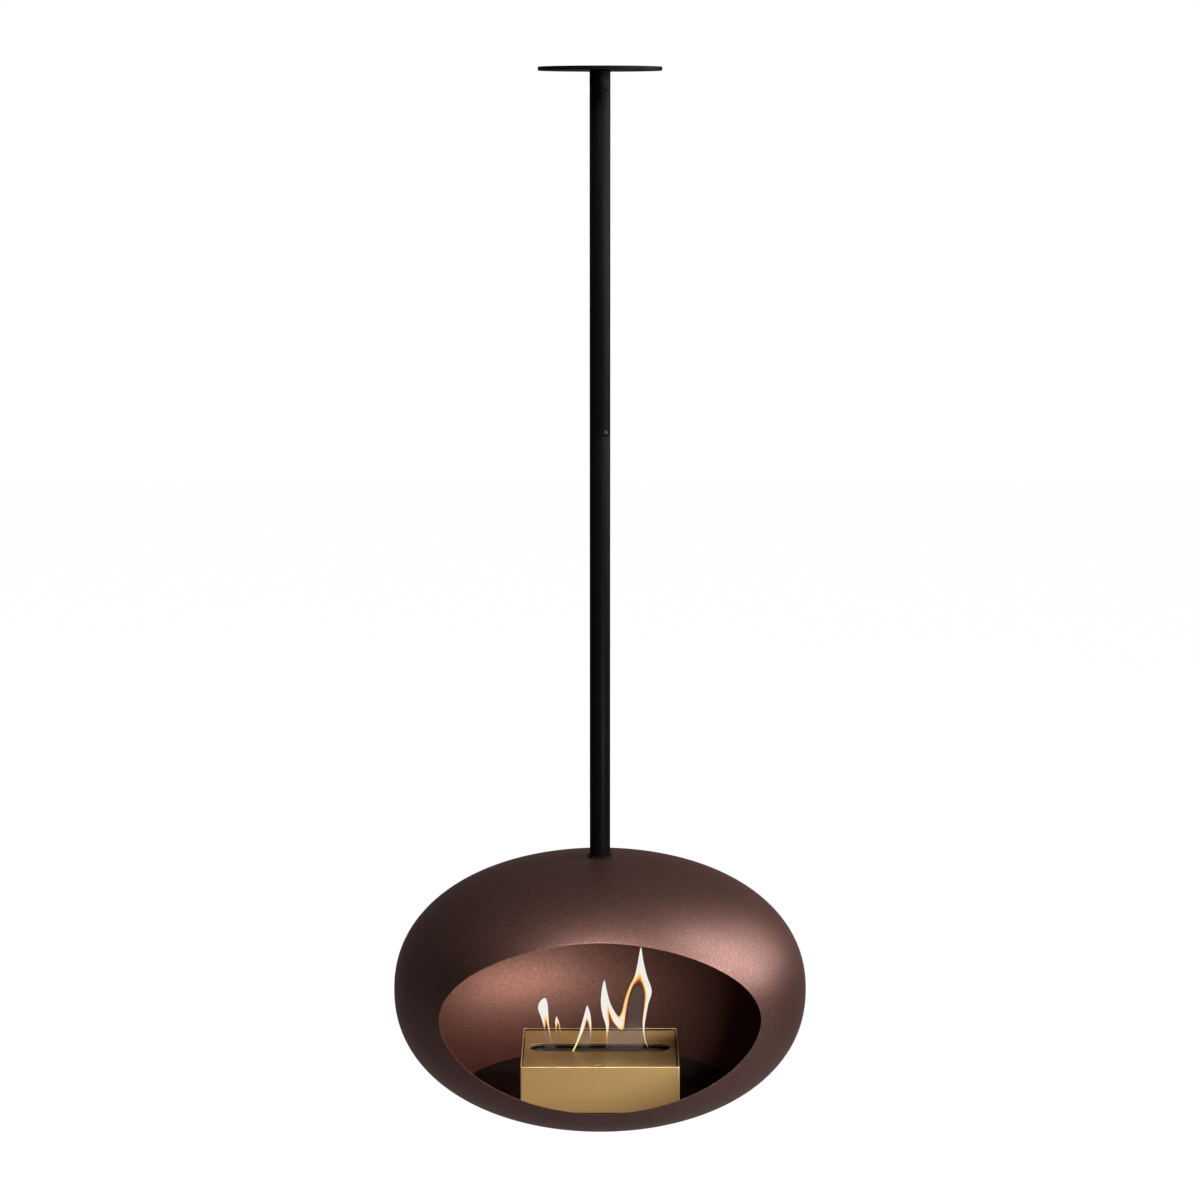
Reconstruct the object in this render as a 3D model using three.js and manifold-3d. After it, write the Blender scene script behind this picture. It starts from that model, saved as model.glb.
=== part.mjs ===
// A ceiling-hung bioethanol fireplace: a spun steel dome on a round pole, with a lift-out burner.
// Millimetres, +Z up. The origin is the centre of the ceiling plate's top face, so everything
// hangs below it. The mouth of the dome faces -Y.
import * as THREE from "three";
import { mergeVertices } from "three/addons/utils/BufferGeometryUtils.js";
import Module from "manifold-3d";

const wasm = await Module();
wasm.setup();

// ---------------------------------------------------------------- driving dimensions

const SEAT_GAP = 0.3; // air between two pieces that rest on, or fit in, each other
const CUT_PAST = 5; // how far a cutting solid runs past what it cuts
const JOIN_OVERLAP = 0.5; // how far two solids that become one run into each other
const QUARTER_TURN = 90; // degrees

// Ceiling plate and the swivel under it
const PLATE_DIAMETER = 190;
const PLATE_THICKNESS = 6;
const PLATE_CHAMFER = 0.8;
const PLATE_HOLE_DIAMETER = 8;
const PLATE_COUNTERSINK_DIAMETER = 15;
const PLATE_HOLE_CIRCLE = 150;
const PLATE_HOLE_COUNT = 4;
const BOSS_DIAMETER = 22;
const BOSS_HEIGHT = 10;
const HOUSING_HEIGHT = 29;
const HOUSING_FLOOR = 6;
const THRUST_WASHER_THICKNESS = 2.5;
const SWIVEL_BOLT_DIAMETER = 12;
const SWIVEL_HEAD_DIAMETER = 19;
const SWIVEL_HEAD_HEIGHT = 7;
const SWIVEL_KEY_WIDTH = 10;
const SWIVEL_NUT_WIDTH = 18;
const SWIVEL_NUT_HEIGHT = 10;
const BOLT_END_SHOWING = 3; // thread that stands past a nut
const SLIP_WASHER_THICKNESS = 1;
const SLIP_WASHER_INSET = 1; // the slip washer is set back from the pole's skin
const HOUSING_SCREW_DIAMETER = 4;

// Pole
const POLE_DIAMETER = 32;
const POLE_WALL = 2.5;
const UPPER_TUBE_LENGTH = 526;
const LOWER_TUBE_LENGTH = 661;
const TUBE_SEAM = 0.6;
const TOP_PLUG_LENGTH = 28;
const COUPLER_LENGTH = 120;
const COUPLER_WALL = 4;
const COUPLER_SCREW_DIAMETER = 6;
const COUPLER_SCREW_FROM_SEAM = 5.5;
const COUPLER_SCREW_BEARING = 36; // degrees, from straight ahead towards the right
const END_PLUG_LENGTH = 32;
const STUD_DIAMETER = 20;

// Dome
const DOME_WIDTH = 650;
const DOME_HEIGHT = 421;
const DOME_FULLNESS = 2.18; // exponent of the side profile: 2 is an ellipse, more is fuller
const SHELL_WALL = 2;
const MOUTH_WIDTH = 490;
const MOUTH_HEIGHT = 263;
const MOUTH_RISE = 2.5; // the mouth's centre above the dome's widest line
const MOUTH_FULLNESS = 1.88;
const GASKET_DIAMETER = 39;
const GASKET_THICKNESS = 2.4;
const CROWN_PLATE_DIAMETER = 120;
const CROWN_PLATE_EDGE = 3; // its thickness at the rim: the top follows the shell, the underside is flat
const CROWN_WASHER_DIAMETER = 44;
const CROWN_WASHER_THICKNESS = 4;
const CROWN_NUT_WIDTH = 30;
const CROWN_NUT_HEIGHT = 16;
const LOCK_NUT_HEIGHT = 9;
const HEARTH_LIFT = 48.5; // the hearth plate's top above the dome's lowest point
const HEARTH_THICKNESS = 3;

// Burner
const BURNER_WIDTH = 246;
const BURNER_DEPTH = 230;
const BURNER_FORWARD = 36; // the burner's centre ahead of the dome's axis
const CASING_HEIGHT = 70;
const CASING_WALL = 2;
const CASING_CORNER = 2.6;
const CASING_FLANGE = 18;
const LEDGE_WIDTH = 16;
const LEDGE_REACH = 8;
const LEDGE_FROM_CORNER = 14;
const LID_RECESS = 3.2; // the top plate's face below the casing's rim
const LID_THICKNESS = 3;
const LID_SIDE_GAP = 1.3;
const SLOT_LENGTH = 222;
const SLOT_WIDTH = 46;
const SLOT_BACK = 11; // the slot's centre behind the burner's centre
const FINGER_HOLE_DIAMETER = 15;
const FINGER_HOLE_FROM_EDGE = 15; // from the top plate's front edge to the hole's centre
const BASE_THICKNESS = 1.5;
const FOOT_DIAMETER = 16;
const FOOT_HEIGHT = 3;
const FOOT_FROM_EDGE = 11; // from the casing's outside to the foot's centre
const FOOT_SCREW_DIAMETER = 4;
const FOOT_SCREW_HEAD_DIAMETER = 7;
const FOOT_SCREW_HEAD_HEIGHT = 1.6;
const FOOT_SCREW_TIP = 1; // screw thread that stands past the base plate

// Fuel container
const CONTAINER_STEP = 2; // the container's lip is set back from the slot's edge
const CONTAINER_WALL = 1.2;
const CONTAINER_DEPTH = 50;
const CONTAINER_FLANGE = 11; // beside the slot
const CONTAINER_END_FLANGE = 6; // past the slot's ends
const CONTAINER_FLANGE_THICKNESS = 1.5;
const PAD_HEIGHT = 41;
const RETAINER_THICKNESS = 0.8;
const RETAINER_HOLE_DIAMETER = 6;
const RETAINER_HOLE_PITCH = 18;
const WELD_STUD_DIAMETER = 4;
const WELD_STUD_SPACING = 150;
const WELD_STUD_TIP = 1; // stud thread that stands past its nut
const STUD_NUT_WIDTH = 7;
const STUD_NUT_HEIGHT = 3.2;

// Facets
const DOME_SIDES = 64;
const DOME_RINGS = 12; // from the widest line to the top, and again to the bottom
const MOUTH_POINTS = 64;
const CROWN_SIDES = 32;
const CROWN_STEPS = 3; // across the stiffening disc's curved top
const PLATE_SIDES = 48;
const POLE_SIDES = 32;
const FIT_SIDES = 20;
const SCREW_SIDES = 12;
const MESH_HOLE_SIDES = 6;
const SLOT_END_STEPS = 10;
const CORNER_STEPS = 3;

// ---------------------------------------------------------------- finishes

const finishes = {
  black: { color: 0x141414, roughness: 0.55, metalness: 0.3 },
  mocca: { color: 0x4a3230, roughness: 0.42, metalness: 0.6 },
  brass: { color: 0xa8854f, roughness: 0.35, metalness: 0.8 },
  steel: { color: 0x9a9a98, roughness: 0.35, metalness: 1 },
  bronze: { color: 0x8c6a3a, roughness: 0.4, metalness: 0.9 },
  polymer: { color: 0x0c0c0c, roughness: 0.7, metalness: 0 },
  hearth: { color: 0x15110f, roughness: 0.8, metalness: 0.1 },
  wool: { color: 0xd9d3c4, roughness: 1, metalness: 0 },
};

const material = (finish) => new THREE.MeshStandardMaterial(finishes[finish]);

// ---------------------------------------------------------------- solids

function solidOf(geometry) {
  const bare = geometry.clone();
  bare.deleteAttribute("normal");
  bare.deleteAttribute("uv");
  const merged = mergeVertices(bare);
  const mesh = new wasm.Mesh({
    numProp: 3,
    vertProperties: merged.attributes.position.array,
    triVerts: new Uint32Array(merged.index.array),
  });
  return new wasm.Manifold(mesh);
}

function geometryOf(solid) {
  const { vertProperties, triVerts } = solid.getMesh();
  const geometry = new THREE.BufferGeometry();
  geometry.setAttribute("position", new THREE.BufferAttribute(vertProperties, 3));
  geometry.setIndex(new THREE.BufferAttribute(triVerts, 1));
  geometry.computeVertexNormals();
  return geometry;
}

const cut = (base, tools) => tools.reduce((left, tool) => left.subtract(tool), base);
const join = (base, more) => more.reduce((all, one) => all.add(one), base);

// A profile of [radius, height] points turned about the Z axis.
function turned(profile, sides) {
  const points = profile.map(([radius, height]) => new THREE.Vector2(radius, height));
  return solidOf(new THREE.LatheGeometry(points, sides).rotateX(Math.PI / 2));
}

// A round bar from height low to height high.
function bar(diameter, low, high, sides) {
  const radius = diameter / 2;
  return turned([[0, low], [radius, low], [radius, high], [0, high]], sides);
}

// A ring or tube from height low to height high.
function ring(outer, inner, low, high, sides) {
  const [out, hole] = [outer / 2, inner / 2];
  return turned([[hole, low], [out, low], [out, high], [hole, high], [hole, low]], sides);
}

// A flat outline raised from height low to height high.
function raised(shape, low, high, steps = SLOT_END_STEPS) {
  const options = { depth: high - low, bevelEnabled: false, curveSegments: steps };
  return solidOf(new THREE.ExtrudeGeometry(shape, options).translate(0, 0, low));
}

function block(width, depth, low, high) {
  const box = new THREE.BoxGeometry(width, depth, high - low);
  return solidOf(box.translate(0, 0, (low + high) / 2));
}

// A hexagon prism, for nuts and hex sockets, by its width across flats.
function hexagon(width, low, high) {
  return bar(width / Math.cos(Math.PI / 6), low, high, 6);
}

// A slot outline: two straight sides with round ends.
function slotShape(length, width) {
  const radius = width / 2;
  const straight = length / 2 - radius;
  const shape = new THREE.Shape();
  shape.absarc(straight, 0, radius, -Math.PI / 2, Math.PI / 2);
  shape.absarc(-straight, 0, radius, Math.PI / 2, (3 * Math.PI) / 2);
  shape.closePath();
  return shape;
}

// A rectangle with rounded corners, raised from height low to height high.
function panel(width, depth, radius, low, high) {
  const [x, y] = [width / 2 - radius, depth / 2 - radius];
  const shape = new THREE.Shape();
  shape.absarc(x, -y, radius, -Math.PI / 2, 0);
  shape.absarc(x, y, radius, 0, Math.PI / 2);
  shape.absarc(-x, y, radius, Math.PI / 2, Math.PI);
  shape.absarc(-x, -y, radius, Math.PI, (3 * Math.PI) / 2);
  shape.closePath();
  return raised(shape, low, high, CORNER_STEPS);
}

// A nut with a clear bore: its bottom is at height 0.
function nut(width, height, boltDiameter) {
  const bore = bar(boltDiameter + 2 * SEAT_GAP, -CUT_PAST, height + CUT_PAST, FIT_SIDES);
  return cut(hexagon(width, 0, height), [bore]);
}

// A grub screw along +X from the tip's radius to the head's radius, with a hex socket in its head.
function grubScrew(diameter, tip, head) {
  const socketDepth = (head - tip) / 2;
  const socket = hexagon(diameter / 2, head - socketDepth, head + CUT_PAST);
  return cut(bar(diameter, tip, head, SCREW_SIDES), [socket]).rotate([0, QUARTER_TURN, 0]);
}

// The drill for a grub screw's hole, along +X from the pole's axis.
function grubDrill(diameter, from, to) {
  return bar(diameter + 2 * SEAT_GAP, from, to, SCREW_SIDES).rotate([0, QUARTER_TURN, 0]);
}

function named(name, solid, finish) {
  const mesh = new THREE.Mesh(geometryOf(solid), material(finish));
  mesh.name = name;
  return mesh;
}

function group(pieces, height = 0) {
  const made = new THREE.Group();
  made.add(...pieces);
  made.position.z = height;
  return made;
}

const raise = (piece, height) => {
  piece.position.z = height;
  return piece;
};

// ---------------------------------------------------------------- levels worked out from the sizes

const housingBottom = -PLATE_THICKNESS - SEAT_GAP - HOUSING_HEIGHT;
const housingFloorTop = housingBottom + HOUSING_FLOOR;
const thrustWasherBottom = housingFloorTop + SEAT_GAP;
const swivelHeadBottom = thrustWasherBottom + THRUST_WASHER_THICKNESS + SEAT_GAP;
const slipWasherTop = housingBottom - SEAT_GAP;
const upperTubeTop = slipWasherTop - SLIP_WASHER_THICKNESS - SEAT_GAP;
const topPlugBottom = upperTubeTop - TOP_PLUG_LENGTH;
const swivelNutBottom = topPlugBottom - SEAT_GAP - SWIVEL_NUT_HEIGHT;
const upperTubeBottom = upperTubeTop - UPPER_TUBE_LENGTH;
const lowerTubeTop = upperTubeBottom - TUBE_SEAM;
const lowerTubeBottom = lowerTubeTop - LOWER_TUBE_LENGTH;
const seamHeight = (upperTubeBottom + lowerTubeTop) / 2;
const gasketTop = lowerTubeBottom - SEAT_GAP;
const domeTop = gasketTop - GASKET_THICKNESS - SEAT_GAP;
const domeCentre = domeTop - DOME_HEIGHT / 2;

const poleBore = POLE_DIAMETER - 2 * POLE_WALL;
const plugDiameter = poleBore - 2 * SEAT_GAP;
const housingBore = BOSS_DIAMETER + 2 * SEAT_GAP;
const boltClearance = SWIVEL_BOLT_DIAMETER + 2 * SEAT_GAP;
const studClearance = STUD_DIAMETER + 2 * SEAT_GAP;

// ---------------------------------------------------------------- dome surfaces, about its centre

// The side profile of a dome surface, set in from the outside, from the bottom up to a hole at the
// crown. One ring lies on the widest line.
function domeProfile(inset, holeRadius) {
  const [a, c] = [DOME_WIDTH / 2 - inset, DOME_HEIGHT / 2 - inset];
  const crown = Math.acos((holeRadius / a) ** (DOME_FULLNESS / 2));
  const power = 2 / DOME_FULLNESS;
  return Array.from({ length: 2 * DOME_RINGS + 1 }, (_, i) => {
    const reach = i / DOME_RINGS - 1;
    const t = reach * (reach < 0 ? Math.PI / 2 : crown);
    const radius = i ? a * Math.cos(t) ** power : 0;
    return [radius, c * Math.sign(t) * Math.abs(Math.sin(t)) ** power];
  });
}

// The radius of that faceted profile at a height.
function domeRadius(inset, height) {
  const profile = domeProfile(inset, 0);
  const i = profile.findIndex(([, z]) => z >= height);
  const [[r0, z0], [r1, z1]] = [profile[i - 1], profile[i]];
  return r0 + ((r1 - r0) * (height - z0)) / (z1 - z0);
}

// The height of its crown at a distance from the axis.
function crownHeight(inset, radius) {
  const profile = domeProfile(inset, studClearance / 2);
  const i = Math.min(profile.findLastIndex(([r]) => r >= radius), profile.length - 2);
  const [[r0, z0], [r1, z1]] = [profile[i], profile[i + 1]];
  return z0 + ((z1 - z0) * (radius - r0)) / (r1 - r0);
}

const crownPlateBottom =
  crownHeight(SHELL_WALL + SEAT_GAP, CROWN_PLATE_DIAMETER / 2) - CROWN_PLATE_EDGE;
const crownWasherTop = crownPlateBottom - SEAT_GAP;
const crownNutTop = crownWasherTop - CROWN_WASHER_THICKNESS - SEAT_GAP;
const lockNutTop = crownNutTop - CROWN_NUT_HEIGHT - SEAT_GAP;
const studEnd = lockNutTop - LOCK_NUT_HEIGHT - BOLT_END_SHOWING;
const hearthTop = HEARTH_LIFT - DOME_HEIGHT / 2;

// ---------------------------------------------------------------- ceiling plate and swivel housing

function ceilingPlate() {
  const [edge, bottom] = [PLATE_DIAMETER / 2, -PLATE_THICKNESS];
  const disc = turned(
    [
      [0, bottom],
      [edge - PLATE_CHAMFER, bottom],
      [edge, bottom + PLATE_CHAMFER],
      [edge, 0],
      [0, 0],
    ],
    PLATE_SIDES,
  );
  const boss = bar(BOSS_DIAMETER, bottom - BOSS_HEIGHT, -PLATE_THICKNESS / 2, FIT_SIDES);
  const [hole, sink] = [PLATE_HOLE_DIAMETER / 2, PLATE_COUNTERSINK_DIAMETER / 2];
  const drill = turned(
    [
      [0, bottom - CUT_PAST],
      [sink + CUT_PAST, bottom - CUT_PAST],
      [hole, bottom + sink - hole],
      [hole, CUT_PAST],
      [0, CUT_PAST],
    ],
    SCREW_SIDES,
  );
  const drills = Array.from({ length: PLATE_HOLE_COUNT }, (_, i) =>
    drill
      .translate([PLATE_HOLE_CIRCLE / 2, 0, 0])
      .rotate([0, 0, (360 * (i + 0.5)) / PLATE_HOLE_COUNT]),
  );
  return named("ceiling_plate", cut(join(disc, [boss]), drills), "black");
}

const housingScrewHeight = -PLATE_THICKNESS - SEAT_GAP - BOSS_HEIGHT / 2;

function swivelHousing() {
  const [out, bore, exit] = [POLE_DIAMETER / 2, housingBore / 2, boltClearance / 2];
  const cup = turned(
    [
      [exit, housingBottom],
      [out, housingBottom],
      [out, housingBottom + HOUSING_HEIGHT],
      [bore, housingBottom + HOUSING_HEIGHT],
      [bore, housingFloorTop],
      [exit, housingFloorTop],
      [exit, housingBottom],
    ],
    POLE_SIDES,
  );
  const drill = grubDrill(HOUSING_SCREW_DIAMETER, 0, POLE_DIAMETER)
    .rotate([0, 0, QUARTER_TURN])
    .translate([0, 0, housingScrewHeight]);
  return named("swivel_housing", cut(cup, [drill]), "black");
}

function housingSetScrew() {
  const [tip, head] = [BOSS_DIAMETER / 2 + SEAT_GAP, POLE_DIAMETER / 2 - SEAT_GAP];
  const screw = grubScrew(HOUSING_SCREW_DIAMETER, tip, head).rotate([0, 0, QUARTER_TURN]);
  return raise(named("housing_set_screw", screw, "steel"), housingScrewHeight);
}

function thrustWasher() {
  const outer = housingBore - 2 * SEAT_GAP;
  const washer = ring(outer, boltClearance, 0, THRUST_WASHER_THICKNESS, FIT_SIDES);
  return raise(named("thrust_washer", washer, "bronze"), thrustWasherBottom);
}

const ceilingGroup = () =>
  group([ceilingPlate(), swivelHousing(), housingSetScrew(), thrustWasher()]);

// ---------------------------------------------------------------- pole

function swivelBolt() {
  const end = swivelNutBottom - BOLT_END_SHOWING;
  const headTop = swivelHeadBottom + SWIVEL_HEAD_HEIGHT;
  const shank = bar(SWIVEL_BOLT_DIAMETER, end, swivelHeadBottom + JOIN_OVERLAP, FIT_SIDES);
  const head = bar(SWIVEL_HEAD_DIAMETER, swivelHeadBottom, headTop, FIT_SIDES);
  const socket = hexagon(SWIVEL_KEY_WIDTH, headTop - SWIVEL_HEAD_HEIGHT / 2, headTop + CUT_PAST);
  return named("swivel_bolt", cut(join(shank, [head]), [socket]), "steel");
}

function slipWasher() {
  const outer = POLE_DIAMETER - 2 * SLIP_WASHER_INSET;
  const washer = ring(outer, boltClearance, -SLIP_WASHER_THICKNESS, 0, POLE_SIDES);
  return raise(named("slip_washer", washer, "polymer"), slipWasherTop);
}

function poleTopPlug() {
  const plug = ring(plugDiameter, boltClearance, topPlugBottom, upperTubeTop, FIT_SIDES);
  return named("pole_top_plug", plug, "steel");
}

function swivelNut() {
  const lock = nut(SWIVEL_NUT_WIDTH, SWIVEL_NUT_HEIGHT, SWIVEL_BOLT_DIAMETER);
  return raise(named("swivel_nut", lock, "steel"), swivelNutBottom);
}

// The two coupler screws: one above the seam at the front right, one below it at the back left.
const couplerScrews = [
  {
    name: "coupler_screw_upper",
    above: COUPLER_SCREW_FROM_SEAM,
    turn: COUPLER_SCREW_BEARING - QUARTER_TURN,
  },
  {
    name: "coupler_screw_lower",
    above: -COUPLER_SCREW_FROM_SEAM,
    turn: COUPLER_SCREW_BEARING + QUARTER_TURN,
  },
];
const couplerBore = plugDiameter - 2 * COUPLER_WALL;

function couplerDrill({ above, turn }) {
  return grubDrill(COUPLER_SCREW_DIAMETER, 0, POLE_DIAMETER)
    .rotate([0, 0, turn])
    .translate([0, 0, seamHeight + above]);
}

function couplerScrew({ name, above, turn }) {
  const [tip, head] = [couplerBore / 2 + SEAT_GAP, POLE_DIAMETER / 2 - SEAT_GAP];
  const screw = grubScrew(COUPLER_SCREW_DIAMETER, tip, head).rotate([0, 0, turn]);
  return raise(named(name, screw, "steel"), seamHeight + above);
}

function tube(name, low, high) {
  const pipe = ring(POLE_DIAMETER, poleBore, low, high, POLE_SIDES);
  return named(name, cut(pipe, couplerScrews.map(couplerDrill)), "black");
}

function tubeCoupler() {
  const [low, high] = [seamHeight - COUPLER_LENGTH / 2, seamHeight + COUPLER_LENGTH / 2];
  const sleeve = ring(plugDiameter, couplerBore, low, high, FIT_SIDES);
  return named("tube_coupler", cut(sleeve, couplerScrews.map(couplerDrill)), "steel");
}

function poleEndStud() {
  const plug = bar(plugDiameter, lowerTubeBottom, lowerTubeBottom + END_PLUG_LENGTH, FIT_SIDES);
  const studTop = lowerTubeBottom + JOIN_OVERLAP;
  const stud = bar(STUD_DIAMETER, domeCentre + studEnd, studTop, FIT_SIDES);
  return named("pole_end_stud", join(plug, [stud]), "steel");
}

const poleGroup = () =>
  group([
    swivelBolt(),
    slipWasher(),
    poleTopPlug(),
    swivelNut(),
    tube("upper_tube", upperTubeBottom, upperTubeTop),
    tubeCoupler(),
    ...couplerScrews.map(couplerScrew),
    tube("lower_tube", lowerTubeBottom, lowerTubeTop),
    poleEndStud(),
  ]);

// ---------------------------------------------------------------- dome

// The mouth's outline, in the plane seen from the front.
function mouthShape() {
  const points = Array.from({ length: MOUTH_POINTS }, (_, i) => {
    const t = (2 * Math.PI * i) / MOUTH_POINTS;
    const [c, s] = [Math.cos(t), Math.sin(t)];
    return new THREE.Vector2(
      (MOUTH_WIDTH / 2) * Math.sign(c) * Math.abs(c) ** (2 / MOUTH_FULLNESS),
      MOUTH_RISE + (MOUTH_HEIGHT / 2) * Math.sign(s) * Math.abs(s) ** (2 / MOUTH_FULLNESS),
    );
  });
  return new THREE.Shape(points);
}

// The dome is spun as two bowls that meet, edge to edge, on the widest line. A bowl takes its rings
// of the two profiles, from one ring to another.
function domeBowl(name, from, to) {
  const hole = studClearance / 2;
  const [outside, inside] = [0, SHELL_WALL].map((inset) =>
    domeProfile(inset, hole).slice(from, to + 1),
  );
  const profile = [...outside, ...inside.reverse()];
  if (from) profile.push(profile[0]);
  const mouth = raised(mouthShape(), 0, DOME_WIDTH).rotate([QUARTER_TURN, 0, 0]);
  return named(name, cut(turned(profile, DOME_SIDES), [mouth]), "mocca");
}

function crownGasket() {
  const seal = ring(GASKET_DIAMETER, studClearance, SEAT_GAP, SEAT_GAP + GASKET_THICKNESS, POLE_SIDES);
  return raise(named("crown_gasket", seal, "polymer"), DOME_HEIGHT / 2);
}

// A stiffening disc whose top follows the shell's inside round the stud.
function crownPlate() {
  const [hole, edge] = [studClearance / 2, CROWN_PLATE_DIAMETER / 2];
  const step = (edge - hole) / CROWN_STEPS;
  const radii = Array.from({ length: CROWN_STEPS + 1 }, (_, i) => edge - step * i);
  const top = radii.map((radius) => [radius, crownHeight(SHELL_WALL + SEAT_GAP, radius)]);
  const start = [hole, crownPlateBottom];
  const disc = turned([start, [edge, crownPlateBottom], ...top, start], CROWN_SIDES);
  return named("crown_plate", disc, "black");
}

function crownWasher() {
  const washer = ring(CROWN_WASHER_DIAMETER, studClearance, -CROWN_WASHER_THICKNESS, 0, FIT_SIDES);
  return raise(named("crown_washer", washer, "steel"), crownWasherTop);
}

function crownNut(name, top, height) {
  const piece = named(name, nut(CROWN_NUT_WIDTH, height, STUD_DIAMETER), "steel");
  return raise(piece, top - height);
}

// A loose disc whose bevelled edge beds on the shell.
function hearthPlate() {
  const [top, bottom] = [hearthTop, hearthTop - HEARTH_THICKNESS];
  const edge = (height) => domeRadius(SHELL_WALL + SEAT_GAP, height);
  const disc = turned([[0, bottom], [edge(bottom), bottom], [edge(top), top], [0, top]], DOME_SIDES);
  return named("hearth_plate", disc, "hearth");
}

// ---------------------------------------------------------------- burner, about its centre on the hearth

const casingBottom = SEAT_GAP + FOOT_HEIGHT + SEAT_GAP;
const casingTop = casingBottom + CASING_HEIGHT;
const baseBottom = casingBottom + CASING_WALL + SEAT_GAP;
const baseTop = baseBottom + BASE_THICKNESS;
const lidTop = casingTop - LID_RECESS;
const lidBottom = lidTop - LID_THICKNESS;
const ledgeTop = lidBottom - SEAT_GAP;
const [insideWidth, insideDepth] = [BURNER_WIDTH - 2 * CASING_WALL, BURNER_DEPTH - 2 * CASING_WALL];

const corners = [
  { name: "front_left", x: -1, y: -1 },
  { name: "front_right", x: 1, y: -1 },
  { name: "back_left", x: -1, y: 1 },
  { name: "back_right", x: 1, y: 1 },
];

const footPlace = ({ x, y }) => [
  x * (BURNER_WIDTH / 2 - FOOT_FROM_EDGE),
  y * (BURNER_DEPTH / 2 - FOOT_FROM_EDGE),
];

const footScrewDrills = () =>
  corners.map((corner) =>
    bar(FOOT_SCREW_DIAMETER + 2 * SEAT_GAP, 0, baseTop + CUT_PAST, SCREW_SIDES).translate([
      ...footPlace(corner),
      0,
    ]),
  );

// A folded sheet box: four walls, a flange turned in round the bottom and four ledges for the top plate.
function burnerCasing() {
  const outside = panel(BURNER_WIDTH, BURNER_DEPTH, CASING_CORNER, casingBottom, casingTop);
  const inside = panel(
    insideWidth,
    insideDepth,
    CASING_CORNER - CASING_WALL,
    casingBottom + CASING_WALL,
    casingTop + CUT_PAST,
  );
  const window = block(
    insideWidth - 2 * CASING_FLANGE,
    insideDepth - 2 * CASING_FLANGE,
    casingBottom - CUT_PAST,
    casingTop,
  );
  const ledges = corners.map(({ x, y }) =>
    block(LEDGE_REACH + CASING_WALL, LEDGE_WIDTH, ledgeTop - CASING_WALL, ledgeTop).translate([
      x * (BURNER_WIDTH - LEDGE_REACH - CASING_WALL) / 2 - x * CASING_WALL / 2,
      y * (insideDepth / 2 - LEDGE_FROM_CORNER - LEDGE_WIDTH / 2),
      0,
    ]),
  );
  const box = join(cut(outside, [inside, window]), ledges);
  return named("burner_casing", cut(box, footScrewDrills()), "brass");
}

function burnerBase() {
  const [width, depth] = [insideWidth - 2 * SEAT_GAP, insideDepth - 2 * SEAT_GAP];
  const plate = panel(width, depth, CASING_CORNER, baseBottom, baseTop);
  return named("burner_base", cut(plate, footScrewDrills()), "steel");
}

// A pad with a counterbore that swallows its screw's head.
function burnerFoot(corner) {
  const [bottom, top] = [SEAT_GAP, SEAT_GAP + FOOT_HEIGHT];
  const seat = bottom + FOOT_HEIGHT / 2 + SEAT_GAP;
  const pad = ring(FOOT_DIAMETER, FOOT_SCREW_DIAMETER + 2 * SEAT_GAP, bottom, top, FIT_SIDES);
  const counterbore = bar(FOOT_SCREW_HEAD_DIAMETER + 2 * SEAT_GAP, 0, seat, SCREW_SIDES);
  const piece = named(`burner_foot_${corner.name}`, cut(pad, [counterbore]), "polymer");
  piece.position.set(...footPlace(corner), 0);
  return piece;
}

function footScrew(corner) {
  const headTop = SEAT_GAP + FOOT_HEIGHT / 2;
  const head = bar(FOOT_SCREW_HEAD_DIAMETER, headTop - FOOT_SCREW_HEAD_HEIGHT / 2, headTop, SCREW_SIDES);
  const shankBottom = headTop - JOIN_OVERLAP;
  const shank = bar(FOOT_SCREW_DIAMETER, shankBottom, baseTop + FOOT_SCREW_TIP, SCREW_SIDES);
  const piece = named(`foot_screw_${corner.name}`, join(head, [shank]), "steel");
  piece.position.set(...footPlace(corner), 0);
  return piece;
}

// ---------------------------------------------------------------- insert: top plate and fuel container

const containerLength = SLOT_LENGTH - 2 * CONTAINER_STEP;
const containerWidth = SLOT_WIDTH - 2 * CONTAINER_STEP;
const flangeTop = lidBottom - SEAT_GAP;
const flangeBottom = flangeTop - CONTAINER_FLANGE_THICKNESS;
const containerBottom = flangeTop - CONTAINER_DEPTH;
const padBottom = containerBottom + CONTAINER_WALL + SEAT_GAP;
const padTop = padBottom + PAD_HEIGHT;
const weldStudPlace = ({ x, y }) => [
  (x * WELD_STUD_SPACING) / 2,
  y * (containerWidth / 2 + CONTAINER_WALL + CONTAINER_FLANGE / 2),
  0,
];

function burnerTopPlate() {
  const [width, depth] = [insideWidth - 2 * LID_SIDE_GAP, insideDepth - 2 * LID_SIDE_GAP];
  const plate = block(width, depth, lidBottom, lidTop);
  const slotCutter = slotShape(SLOT_LENGTH, SLOT_WIDTH);
  const slot = raised(slotCutter, lidBottom - CUT_PAST, lidTop + CUT_PAST);
  const fingerHole = bar(
    FINGER_HOLE_DIAMETER,
    lidBottom - CUT_PAST,
    lidTop + CUT_PAST,
    FIT_SIDES,
  ).translate([0, -depth / 2 + FINGER_HOLE_FROM_EDGE, 0]);
  const studEndHeight = flangeBottom - SEAT_GAP - STUD_NUT_HEIGHT - WELD_STUD_TIP;
  const studs = corners.map((corner) =>
    bar(WELD_STUD_DIAMETER, studEndHeight, lidBottom + LID_THICKNESS / 2, SCREW_SIDES).translate(
      weldStudPlace(corner),
    ),
  );
  const [slotInPlace, ...studsInPlace] = [slot, ...studs].map((solid) =>
    solid.translate([0, SLOT_BACK, 0]),
  );
  const drilled = cut(plate, [slotInPlace, fingerHole]);
  return named("burner_top_plate", join(drilled, studsInPlace), "brass");
}

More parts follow.
